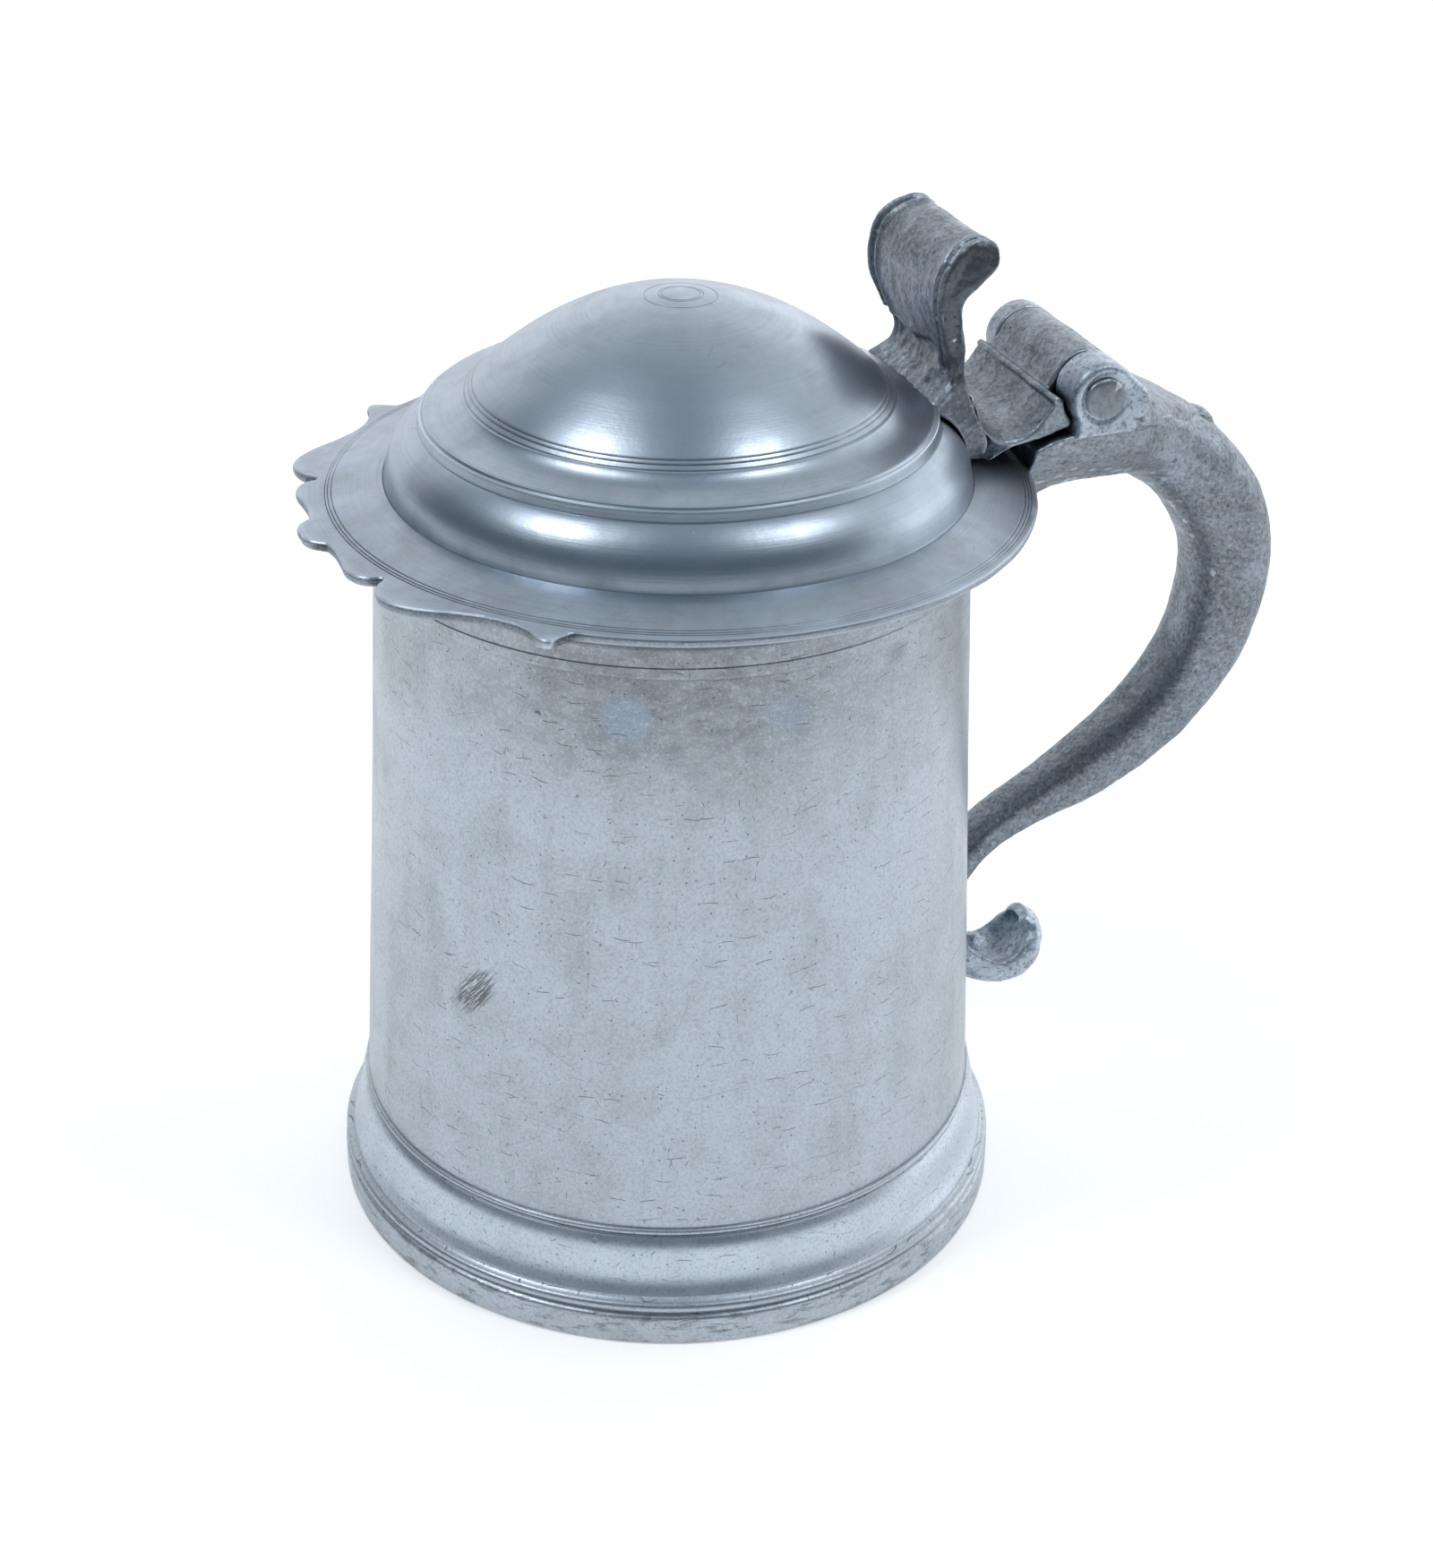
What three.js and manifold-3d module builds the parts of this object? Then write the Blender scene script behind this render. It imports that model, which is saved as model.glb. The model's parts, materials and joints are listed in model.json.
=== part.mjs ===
// Pewter quart tankard: a tapered drum on a moulded foot, a swan-neck handle with a scooped terminal,
// and a stepped dome lid with a toothed lip, a curled thumbpiece and a three-barrel hinge.
// Millimetres, +Z up. The handle leaves along +X and the hinge axis runs along Y.
// Shapes are described about the drum's own axis; the whole is then shifted along X so that the
// origin is at the middle of the footprint box, on the table.

import * as THREE from "three";
import * as BufferGeometryUtils from "three/addons/utils/BufferGeometryUtils.js";
import Module from "manifold-3d";

const wasm = await Module();
wasm.setup();

// Driving dimensions
const DRUM_AXIS_X = -27.3;
const GAP = 0.3;
const LATHE_STEPS = 60;

const FOOT_RADIUS = 62.1;
const FOOT_BAND_TOP = 5.8;
const FOOT_BEAD_BOTTOM = 6.6;
const FOOT_BEAD_TOP = 8.8;
const SKIRT_TOP = 20.2;
const DRUM_BOTTOM = 21.9;
const DRUM_BOTTOM_RADIUS = 57.0;
const DRUM_TOP_RADIUS = 52.0;
const DRUM_WALL = 2.0;
const BAND_BOTTOM = 127.7;
const BAND_RADIUS = 52.8;
const RIM_TOP = 138.7;
const FLOOR_THICKNESS = 2.0;

const LID_AXIS_X = 1.0;
const LID_TOP = 173.0;
const LID_SHELL = 1.7;
const FLANGE_RADIUS = 62.0;
const FLANGE_EDGE_TOP = 138.9;
const FLANGE_INNER_RADIUS = 50.4;
const FLANGE_INNER_TOP = 141.9;
const LIP_INNER_RADIUS = 60.6;

const HINGE_X = 73.3;
const HINGE_Z = 151.9;
const HINGE_HALF_WIDTH = 18.15;
const BARREL_RADIUS = 6.2;
const KNUCKLE_LOW_Y = -10.5;
const KNUCKLE_HIGH_Y = 13.0;
const PIN_RADIUS = 2.3;
const PIN_CLEARANCE = 0.25;
const PIN_HEAD_RADIUS = 3.7;
const PIN_HEAD_THICKNESS = 0.8;
const SEAM_GAP = 0.35;
const SEAT_TOP = 145.3;

const ARM_HALF_WIDTH = 15.8;
const THUMB_HALF_WIDTH = 15.4;
const THUMB_WAIST_HALF_WIDTH = 12.6;

// Materials
function pewter(color, roughness) {
  return new THREE.MeshStandardMaterial({ color, roughness, metalness: 1.0 });
}

const TURNED_PEWTER = pewter(0xaab4bf, 0.38);
const LID_PEWTER = pewter(0x98a4b2, 0.32);
const CAST_PEWTER = pewter(0x75808d, 0.48);
const PIN_PEWTER = pewter(0x808a94, 0.42);

// Solids from geometries and back
function solidFrom(geometry) {
  const bare = geometry.clone();
  bare.deleteAttribute("normal");
  bare.deleteAttribute("uv");
  const merged = BufferGeometryUtils.mergeVertices(bare, 1e-4);
  const vertProperties = new Float32Array(merged.attributes.position.array);
  const triVerts = new Uint32Array(merged.index.array);
  return new wasm.Manifold(new wasm.Mesh({ numProp: 3, vertProperties, triVerts }));
}

function geometryFrom(solid) {
  const mesh = solid.getMesh();
  const geometry = new THREE.BufferGeometry();
  geometry.setAttribute("position", new THREE.BufferAttribute(new Float32Array(mesh.vertProperties), 3));
  geometry.setIndex(new THREE.BufferAttribute(new Uint32Array(mesh.triVerts), 1));
  geometry.computeVertexNormals();
  return geometry;
}

function cut(geometry, ...tools) {
  const rest = tools.reduce((solid, tool) => solid.subtract(solidFrom(tool)), solidFrom(geometry));
  return geometryFrom(rest);
}

function join(geometry, ...others) {
  const whole = others.reduce((solid, other) => solid.add(solidFrom(other)), solidFrom(geometry));
  return geometryFrom(whole);
}

function overlapOf(first, second) {
  return geometryFrom(solidFrom(first).intersect(solidFrom(second)));
}

// A turned solid about the Z axis from (radius, height) points listed from the bottom outwards and up.
function turned(profile, axisX = 0) {
  const points = profile.map(([radius, height]) => new THREE.Vector2(radius, height));
  const geometry = new THREE.LatheGeometry(points, LATHE_STEPS);
  geometry.rotateX(Math.PI / 2);
  geometry.rotateZ(Math.PI / 2);
  geometry.translate(axisX, 0, 0);
  return geometry;
}

// A flat outline in the XZ plane, extruded between two Y values.
function sideways(outline, lowY, highY) {
  const shape = new THREE.Shape(outline.map(([x, z]) => new THREE.Vector2(x, z)));
  const geometry = new THREE.ExtrudeGeometry(shape, { depth: highY - lowY, bevelEnabled: false });
  geometry.rotateX(Math.PI / 2);
  geometry.translate(0, highY, 0);
  return geometry;
}

// A flat outline in the YZ plane, extruded between two X values.
function frontal(outline, lowX, highX) {
  const shape = new THREE.Shape(outline.map(([y, z]) => new THREE.Vector2(y, z)));
  const geometry = new THREE.ExtrudeGeometry(shape, { depth: highX - lowX, bevelEnabled: false });
  geometry.rotateX(Math.PI / 2);
  geometry.rotateZ(Math.PI / 2);
  geometry.translate(lowX, 0, 0);
  return geometry;
}

// A flat outline in the XY plane, extruded between two heights.
function upright(outline, lowZ, highZ) {
  const shape = new THREE.Shape(outline.map(([x, y]) => new THREE.Vector2(x, y)));
  const geometry = new THREE.ExtrudeGeometry(shape, { depth: highZ - lowZ, bevelEnabled: false });
  geometry.translate(0, 0, lowZ);
  return geometry;
}

function rodAlongY(radius, lowY, highY, sides = 32) {
  const geometry = new THREE.CylinderGeometry(radius, radius, highY - lowY, sides);
  geometry.translate(HINGE_X, (lowY + highY) / 2, HINGE_Z);
  return geometry;
}

// Points on a circular arc about (x, z), between two angles in degrees.
function arc(x, z, radius, fromDegrees, toDegrees, steps) {
  return Array.from({ length: steps + 1 }, (_, i) => {
    const angle = THREE.MathUtils.degToRad(fromDegrees + ((toDegrees - fromDegrees) * i) / steps);
    return [x + radius * Math.cos(angle), z + radius * Math.sin(angle)];
  });
}

// Drum and foot
function drumRadiusAt(z) {
  const share = (z - DRUM_BOTTOM) / (BAND_BOTTOM - DRUM_BOTTOM);
  return DRUM_BOTTOM_RADIUS + share * (DRUM_TOP_RADIUS - DRUM_BOTTOM_RADIUS);
}

function drumOutside(grow) {
  return [
    [DRUM_BOTTOM_RADIUS + grow, DRUM_BOTTOM],
    [drumRadiusAt(BAND_BOTTOM - 0.6) + grow, BAND_BOTTOM - 0.6],
    [BAND_RADIUS + grow, BAND_BOTTOM],
    [BAND_RADIUS + grow, RIM_TOP - 0.6],
    [BAND_RADIUS + grow - 0.6, RIM_TOP],
  ];
}

function drum() {
  const bottom = DRUM_BOTTOM + GAP / 2;
  const outside = drumOutside(0);
  outside[0] = [drumRadiusAt(bottom), bottom];
  const inside = [
    [DRUM_TOP_RADIUS - DRUM_WALL + 0.6, RIM_TOP],
    [DRUM_TOP_RADIUS - DRUM_WALL, RIM_TOP - 0.6],
    [drumRadiusAt(bottom) - DRUM_WALL, bottom],
  ];
  return turned([...outside, ...inside, outside[0]]);
}

function footRing() {
  const skirtOutside = new THREE.CubicBezierCurve(
    new THREE.Vector2(60.4, FOOT_BEAD_TOP + 0.4),
    new THREE.Vector2(58.0, 11.5),
    new THREE.Vector2(59.6, 16.5),
    new THREE.Vector2(57.3, SKIRT_TOP)
  ).getPoints(7).map((point) => [point.x, point.y]);
  const ring = [
    [FOOT_RADIUS - 3.0, 0],
    [FOOT_RADIUS - 0.3, 0],
    [FOOT_RADIUS, 0.4],
    [FOOT_RADIUS, FOOT_BAND_TOP],
    [61.5, FOOT_BEAD_BOTTOM],
    [61.9, (FOOT_BEAD_BOTTOM + FOOT_BEAD_TOP) / 2],
    [60.9, FOOT_BEAD_TOP],
    ...skirtOutside,
    [57.9, (SKIRT_TOP + DRUM_BOTTOM) / 2],
    [57.2, DRUM_BOTTOM - GAP / 2],
    [DRUM_BOTTOM_RADIUS - DRUM_WALL - 0.2, DRUM_BOTTOM - GAP / 2],
    [DRUM_BOTTOM_RADIUS - DRUM_WALL - 0.2, 17.5],
    [56.6, 12.0],
    [57.6, 8.0],
    [FOOT_RADIUS - 3.0, 5.5],
  ];
  return turned([...ring, ring[0]]);
}

function basePlate() {
  const radius = DRUM_BOTTOM_RADIUS - DRUM_WALL - 0.2 - GAP;
  const top = DRUM_BOTTOM - GAP / 2;
  return turned([
    [0, top - FLOOR_THICKNESS + 0.8],
    [radius - 12, top - FLOOR_THICKNESS + 0.3],
    [radius, top - FLOOR_THICKNESS],
    [radius, top],
    [radius - 12, top + 0.3],
    [0, top + 0.8],
  ]);
}

// Handle: oval sections along a centre line in the XZ plane.
// Each station is x, z, half thickness in the plane, half width along Y.
const HANDLE_STATIONS = [
  [46.0, 125.6, 4.2, 6.4],
  [55.0, 127.6, 4.0, 6.2],
  [63.0, 130.2, 3.9, 6.1],
  [71.0, 133.6, 4.4, 6.6],
  [79.0, 136.6, 5.4, 7.8],
  [86.5, 137.3, 6.9, 9.0],
  [93.5, 135.2, 7.9, 9.5],
  [100.5, 130.5, 8.3, 9.3],
  [106.6, 123.8, 8.45, 9.2],
  [110.9, 115.4, 8.4, 8.9],
  [112.3, 106.5, 8.2, 8.5],
  [111.2, 97.6, 7.8, 8.1],
  [108.0, 89.2, 7.3, 7.6],
  [102.6, 81.0, 6.9, 7.3],
  [95.1, 73.6, 6.6, 6.9],
  [86.0, 67.6, 5.9, 6.2],
  [76.5, 62.8, 4.9, 5.3],
  [68.0, 58.1, 4.0, 4.9],
  [62.4, 52.4, 3.6, 4.8],
  [59.8, 46.6, 3.5, 4.8],
  [59.4, 41.0, 3.5, 4.8],
];

const TERMINAL_STATIONS = [
  [59.4, 41.6, 3.4, 4.7],
  [59.8, 35.6, 3.4, 5.0],
  [62.6, 30.2, 3.5, 5.6],
  [67.2, 27.4, 3.8, 6.4],
  [72.0, 28.0, 3.9, 7.0],
  [75.4, 31.4, 3.6, 6.8],
  [75.4, 35.4, 2.6, 6.0],
];

function stationCurves(stations) {
  const line = new THREE.CatmullRomCurve3(stations.map(([x, z]) => new THREE.Vector3(x, 0, z)));
  const sizes = new THREE.CatmullRomCurve3(stations.map(([, , a, b]) => new THREE.Vector3(a, b, 0)));
  return { line, sizes };
}

// A solid whose oval section follows the stations, swollen by grow all round.
function swept(stations, steps, sides, grow = 0) {
  const { line, sizes } = stationCurves(stations);
  const positions = [];
  for (let i = 0; i <= steps; i += 1) {
    const t = i / steps;
    const centre = line.getPoint(t);
    const tangent = line.getTangent(t);
    const outward = new THREE.Vector3(-tangent.z, 0, tangent.x);
    const size = sizes.getPoint(t);
    for (let k = 0; k < sides; k += 1) {
      const angle = (2 * Math.PI * k) / sides;
      const across = (size.y + grow) * Math.cos(angle);
      const through = (size.x + grow) * Math.sin(angle);
      positions.push(centre.x + outward.x * through, across, centre.z + outward.z * through);
    }
  }
  const start = line.getPoint(0);
  const end = line.getPoint(1);
  positions.push(start.x, 0, start.z, end.x, 0, end.z);
  const startIndex = (steps + 1) * sides;
  const endIndex = startIndex + 1;
  const faces = [];
  for (let i = 0; i < steps; i += 1) {
    for (let k = 0; k < sides; k += 1) {
      const next = (k + 1) % sides;
      const a = i * sides + k;
      const b = i * sides + next;
      const c = (i + 1) * sides + next;
      const d = (i + 1) * sides + k;
      faces.push(a, b, c, a, c, d);
    }
  }
  for (let k = 0; k < sides; k += 1) {
    const next = (k + 1) % sides;
    faces.push(startIndex, next, k);
    faces.push(endIndex, steps * sides + k, steps * sides + next);
  }
  const geometry = new THREE.BufferGeometry();
  geometry.setAttribute("position", new THREE.BufferAttribute(new Float32Array(positions), 3));
  geometry.setIndex(faces);
  geometry.computeVertexNormals();
  return geometry;
}

function drumKeepOut() {
  const outside = drumOutside(GAP);
  return turned([[0, DRUM_BOTTOM], ...outside, [0, RIM_TOP]]);
}

function lowerSplit(aboveZ) {
  return sideways([[40, aboveZ - 60], [130, aboveZ - 60], [130, aboveZ], [40, aboveZ]], -30, 30);
}

const HANDLE_SPLIT_Z = 41.3;

// The flared seat under the hinge: wide on top for the lugs, narrow where it meets the handle.
function hingeSeat() {
  const side = [
    [63.2, 141.6],
    [66.0, 143.6],
    [68.4, SEAT_TOP],
    [84.0, SEAT_TOP],
    [90.0, 144.4],
    [97.0, 140.0],
    [97.0, 131.0],
    [79.0, 132.0],
    [70.0, 132.0],
    [64.2, 136.6],
  ];
  const halfFront = [[18.1, 150], [18.1, 144.2], [16.6, 141.8], [12.4, 138.6], [7.0, 135.2], [4.0, 130.0]];
  const halfPlan = [[62, 13.0], [67.4, 18.1], [82.5, 18.1], [90, 12.8], [98, 8.4]];
  const mirrored = (points) => [...points, ...points.map(([x, y]) => [x, -y]).reverse()];
  const front = [...halfFront, ...halfFront.map(([y, z]) => [-y, z]).reverse()];
  const wedge = overlapOf(sideways(side, -20, 20), frontal(front, 60, 100));
  const block = overlapOf(wedge, upright(mirrored(halfPlan), 120, 160));
  return cut(block, rodAlongY(BARREL_RADIUS + 0.6, -20, 20));
}

function handle() {
  const whole = join(swept(HANDLE_STATIONS, 36, 16), hingeSeat());
  return cut(whole, drumKeepOut(), lowerSplit(HANDLE_SPLIT_Z + GAP / 2));
}

function handleTerminal() {
  const above = sideways([[40, HANDLE_SPLIT_Z - GAP / 2], [130, HANDLE_SPLIT_Z - GAP / 2], [130, 60], [40, 60]], -30, 30);
  return cut(swept(TERMINAL_STATIONS, 14, 16), drumKeepOut(), above);
}

// Hinge lugs: two barrels that stand on the seat, each with a short tail behind.
function hingeLug(lowY, highY) {
  const barrel = arc(HINGE_X, HINGE_Z, BARREL_RADIUS, 218, 44, 16);
  const foot = SEAT_TOP + GAP;
  const outline = [...barrel, [81.8, 152.2], [82.4, 150.0], [81.4, 147.4], [79.6, foot], [68.6, foot]];
  const bore = rodAlongY(PIN_RADIUS + PIN_CLEARANCE, lowY - 1, highY + 1, 24);
  return cut(sideways(outline, lowY, highY), bore);
}

// Tapering tongue on the back of the handle, from between the lugs down to a small nub.
function handleTongue() {
  const side = [
    [78.0, 153.4],
    [82.0, 151.2],
    [87.0, 148.7],
    [93.5, 145.4],
    [100.4, 141.6],
    [102.2, 141.0],
    [104.8, 140.0],
    [107.0, 137.2],
    [106.0, 131.0],
    [97.0, 138.4],
    [90.0, 143.4],
    [84.0, 144.4],
    [78.0, 144.4],
  ];
  const plan = [
    [78.0, KNUCKLE_LOW_Y + GAP],
    [82.8, KNUCKLE_LOW_Y + GAP],
    [82.8, -15.6],
    [90.0, -11.2],
    [98.0, -5.8],
    [106.2, -2.8],
    [107.4, 0],
    [106.2, 2.8],
    [98.0, 5.8],
    [90.0, 11.2],
    [82.8, 15.6],
    [82.8, KNUCKLE_HIGH_Y - GAP],
    [78.0, KNUCKLE_HIGH_Y - GAP],
  ];
  const raw = overlapOf(sideways(side, -18, 18), upright(plan, 120, 160));
  const knuckleRoom = rodAlongY(BARREL_RADIUS + 0.6, -20, 20);
  const seatRoom = hingeSeat().translate(0, 0, GAP);
  return cut(raw, swept(HANDLE_STATIONS, 36, 16, GAP), seatRoom, knuckleRoom);
}

function hingePin() {
  const end = HINGE_HALF_WIDTH + GAP;
  const profile = [
    [0, -end - PIN_HEAD_THICKNESS],
    [PIN_HEAD_RADIUS - 0.4, -end - PIN_HEAD_THICKNESS],
    [PIN_HEAD_RADIUS, -end - PIN_HEAD_THICKNESS / 2],
    [PIN_HEAD_RADIUS, -end],
    [PIN_RADIUS, -end],
    [PIN_RADIUS, end],
    [PIN_HEAD_RADIUS, end],
    [PIN_HEAD_RADIUS, end + PIN_HEAD_THICKNESS / 2],
    [PIN_HEAD_RADIUS - 0.4, end + PIN_HEAD_THICKNESS],
    [0, end + PIN_HEAD_THICKNESS],
  ];
  const points = profile.map(([radius, along]) => new THREE.Vector2(radius, along));
  const geometry = new THREE.LatheGeometry(points, 24);
  geometry.translate(HINGE_X, 0, HINGE_Z);
  return geometry;
}

// Lid: a turned shell with a stepped dome and a sloping flange, joined to the toothed lip.
function lidOutside(grow) {
  const ovolo = [[50.6, 144.0], [50.3, 146.4], [49.1, 149.0], [47.0, 151.2], [44.9, 152.3]];
  const tier = [[44.2, 153.0], [41.0, 153.6], [38.4, 154.6], [36.7, 156.0]];
  const dome = [[34.2, 156.9], [32.0, 158.9], [27.0, 163.2], [21.0, 167.2], [14.0, 170.4], [7.0, 172.3]];
  return [
    [FLANGE_RADIUS + grow, FLANGE_EDGE_TOP - 0.3 + grow],
    [FLANGE_RADIUS - 0.4 + grow, FLANGE_EDGE_TOP + grow],
    [FLANGE_INNER_RADIUS + 0.5 + grow, FLANGE_INNER_TOP + grow],
    ...[...ovolo, ...tier, ...dome].map(([radius, z]) => [radius + grow, z + grow]),
    [0, LID_TOP + grow],
  ];
}

function lidInside() {
  return [
    [0, LID_TOP - LID_SHELL],
    [13.4, LID_TOP - LID_SHELL - 2.5],
    [26.0, 161.4],
    [32.6, 155.6],
    [36.0, 154.0],
    [43.0, 151.3],
    [46.2, 149.6],
    [48.5, 146.0],
    [48.7, 141.4],
  ];
}

function toothedLip() {
  // Radius of the lip's outline against the angle from its middle, in degrees.
  const halfOutline = [
    [0, 66.9], [2.5, 66.7], [4.5, 64.6], [8, 63.9], [11, 64.6], [14.5, 65.7], [18, 65.1], [20, 62.6],
    [22.5, 66.0], [25.5, 67.7], [29, 67.4], [32, 66.2], [36, 63.8], [40.5, 62.3], [44.5, 62.2],
    [48, 63.6], [50.5, 65.9], [51.8, 66.0], [53.6, 62.4],
  ];
  const at = (degrees, radius) => {
    const angle = Math.PI + THREE.MathUtils.degToRad(degrees);
    return new THREE.Vector2(radius * Math.cos(angle), radius * Math.sin(angle));
  };
  const outer = [
    ...halfOutline.slice(1).reverse().map(([degrees, radius]) => at(-degrees, radius)),
    ...halfOutline.map(([degrees, radius]) => at(degrees, radius)),
  ];
  const inner = Array.from({ length: 19 }, (_, i) => at(54 - 6 * i, LIP_INNER_RADIUS));
  const depth = LID_SHELL - 0.1;
  const geometry = new THREE.ExtrudeGeometry(new THREE.Shape([...outer, ...inner]), { depth, bevelEnabled: false });
  geometry.translate(LID_AXIS_X, 0, FLANGE_EDGE_TOP - LID_SHELL + 0.05);
  return geometry;
}

function lidCover() {
  const underside = [
    [FLANGE_INNER_RADIUS - 1.0, FLANGE_INNER_TOP - LID_SHELL],
    [FLANGE_RADIUS - 0.2, FLANGE_EDGE_TOP - LID_SHELL],
    [FLANGE_RADIUS, FLANGE_EDGE_TOP - LID_SHELL + 0.2],
  ];
  const outside = lidOutside(0);
  const shell = turned([underside[2], ...outside, ...lidInside(), ...underside], LID_AXIS_X);
  return join(shell, toothedLip());
}

function lidKeepOut() {
  return turned([[0, 130], [FLANGE_RADIUS + GAP, 130], ...lidOutside(GAP)], LID_AXIS_X);
}

// Thumbpiece: a curled plate that stands on the lid's shoulder.
const THUMB_FOOT_Z = 148.6;

function thumbpieceOutline() {
  return [
    [45.0, THUMB_FOOT_Z],
    [42.6, 152.0],
    [43.0, 155.0],
    [44.6, 156.8],
    [45.4, 159.0],
    [44.9, 161.6],
    [43.6, 165.0],
    [42.5, 168.6],
    [42.3, 172.6],
    [43.2, 176.4],
    [45.2, 179.2],
    [47.9, 180.6],
    [50.6, 180.9],
    [52.4, 180.0],
    [52.9, 178.4],
    [52.1, 176.4],
    [49.4, 174.0],
    [47.0, 172.2],
    [46.3, 170.2],
    [46.9, 166.6],
    [48.3, 162.2],
    [48.8, 157.6],
    [49.0, 153.2],
    [50.4, THUMB_FOOT_Z],
  ];
}

function thumbpiece() {
  const halfFront = [
    [THUMB_HALF_WIDTH - 0.6, 140],
    [THUMB_HALF_WIDTH - 0.6, 151],
    [THUMB_WAIST_HALF_WIDTH + 0.4, 155],
    [THUMB_WAIST_HALF_WIDTH, 158.5],
    [THUMB_WAIST_HALF_WIDTH + 1.4, 163],
    [THUMB_HALF_WIDTH, 168],
    [THUMB_HALF_WIDTH, 177.5],
    [THUMB_HALF_WIDTH - 1.2, 179.8],
    [THUMB_HALF_WIDTH - 3.4, 182],
  ];
  const front = [...halfFront, ...halfFront.map(([y, z]) => [-y, z]).reverse()];
  const plate = sideways(thumbpieceOutline(), -THUMB_HALF_WIDTH - 1, THUMB_HALF_WIDTH + 1);
  return cut(overlapOf(plate, frontal(front, 30, 60)), lidKeepOut());
}

// Hinge arm: a trough from the thumbpiece's back to the centre barrel, in one piece with it.
function hingeArm() {
  const underBarrel = arc(HINGE_X, HINGE_Z, BARREL_RADIUS + 0.6, 182, 221, 5);
  const side = [
    [50.4 + GAP, 152.6],
    [50.9 + GAP, 149.0],
    [52.8, 147.2],
    [55.2, 146.2],
    [57.8, 146.2],
    [60.4, 147.2],
    [63.0, 149.0],
    [65.4, 151.6],
    ...underBarrel,
    [68.1, 146.3],
    [62.0, 144.7],
    [57.0, 143.9],
    [52.0, 141.0],
    [46.0, 142.0],
    [45.6, THUMB_FOOT_Z - GAP],
    [50.4 + GAP, THUMB_FOOT_Z - GAP],
  ];
  const plate = sideways(side, -ARM_HALF_WIDTH, ARM_HALF_WIDTH);
  const low = KNUCKLE_LOW_Y + SEAM_GAP / 2;
  const high = KNUCKLE_HIGH_Y - SEAM_GAP / 2;
  const neckSide = [[64.6, 150.4], [68.0, 154.6], [73.0, 157.6], [73.0, 146.6], [68.0, 146.3], [65.4, 147.0]];
  const neck = sideways(neckSide, low, high);
  const barrel = rodAlongY(BARREL_RADIUS, low, high);
  const bore = rodAlongY(PIN_RADIUS + PIN_CLEARANCE, low - 1, high + 1, 24);
  return cut(join(plate, neck, barrel), bore, lidKeepOut());
}

// Assembly
const vessel = new THREE.Group();
vessel.position.set(DRUM_AXIS_X, 0, 0);

function add(name, geometry, material) {
  const mesh = new THREE.Mesh(geometry, material);
  mesh.name = name;
  vessel.add(mesh);
}

add("drum", drum(), TURNED_PEWTER);
add("foot_ring", footRing(), TURNED_PEWTER);
add("base_plate", basePlate(), TURNED_PEWTER);
add("handle", handle(), CAST_PEWTER);
add("handle_terminal", handleTerminal(), CAST_PEWTER);
add("handle_tongue", handleTongue(), CAST_PEWTER);
add("hinge_lug_near", hingeLug(-HINGE_HALF_WIDTH, KNUCKLE_LOW_Y - SEAM_GAP / 2), CAST_PEWTER);
add("hinge_lug_far", hingeLug(KNUCKLE_HIGH_Y + SEAM_GAP / 2, HINGE_HALF_WIDTH), CAST_PEWTER);
add("hinge_pin", hingePin(), PIN_PEWTER);
add("lid_cover", lidCover(), LID_PEWTER);
add("thumbpiece", thumbpiece(), CAST_PEWTER);
add("lid_hinge_arm", hingeArm(), CAST_PEWTER);

const tankard = new THREE.Group();
tankard.add(vessel);

export default tankard;
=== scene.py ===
"""A pewter quart tankard: its looks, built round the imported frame.

Shapes are in millimetres about the drum's own upright axis, and `placed` turns them into metres in the
row's frame. Turned pieces are lathe profiles with their mouldings and engraved lines; cast pieces
are lofts and outlines that are remeshed so that their edges run together as metal from a mould does.
"""

import json
import math
from functools import partial, reduce

import bmesh
import bpy
import numpy as np
from mathutils import Matrix, Vector, noise


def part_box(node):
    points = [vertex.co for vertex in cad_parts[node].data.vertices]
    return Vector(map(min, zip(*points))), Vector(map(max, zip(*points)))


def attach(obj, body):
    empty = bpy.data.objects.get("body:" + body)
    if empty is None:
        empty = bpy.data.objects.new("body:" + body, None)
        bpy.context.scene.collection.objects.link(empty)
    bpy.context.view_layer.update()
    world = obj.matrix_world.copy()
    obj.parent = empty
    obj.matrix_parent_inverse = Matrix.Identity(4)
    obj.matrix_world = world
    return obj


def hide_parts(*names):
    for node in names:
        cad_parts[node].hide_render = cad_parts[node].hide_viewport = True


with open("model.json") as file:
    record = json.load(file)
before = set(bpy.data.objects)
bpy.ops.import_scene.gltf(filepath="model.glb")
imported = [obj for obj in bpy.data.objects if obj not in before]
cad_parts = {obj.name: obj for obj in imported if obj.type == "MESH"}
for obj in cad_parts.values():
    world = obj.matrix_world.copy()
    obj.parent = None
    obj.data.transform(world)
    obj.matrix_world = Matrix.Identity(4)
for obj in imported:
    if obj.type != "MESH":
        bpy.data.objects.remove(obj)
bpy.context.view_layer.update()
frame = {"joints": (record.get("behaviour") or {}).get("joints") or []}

# ---- dimensions, in millimetres
MM = 0.001
DRUM_LOW, DRUM_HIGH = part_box("drum")
DRUM_AXIS_X = (DRUM_LOW.x + DRUM_HIGH.x) / 2 / MM
HINGE = Vector(frame["joints"][0]["pos_m"]) / MM
HINGE_X = HINGE.x - DRUM_AXIS_X
HINGE_Z = HINGE.z
LID_AXIS_X = 1.0

FOOT_RADIUS = 62.1
DRUM_BOTTOM = 21.9
DRUM_BOTTOM_RADIUS = 57.0
DRUM_TOP_RADIUS = 52.0
DRUM_WALL = 2.0
BAND_BOTTOM = 127.7
BAND_RADIUS = 52.8
RIM_TOP = 138.7

LIP_START_RADIUS = 61.15
LIP_ROOT_RADIUS = 62.0
LID_INSIDE_RADIUS = 61.0
LID_INSIDE_TOP = 160.0

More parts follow.
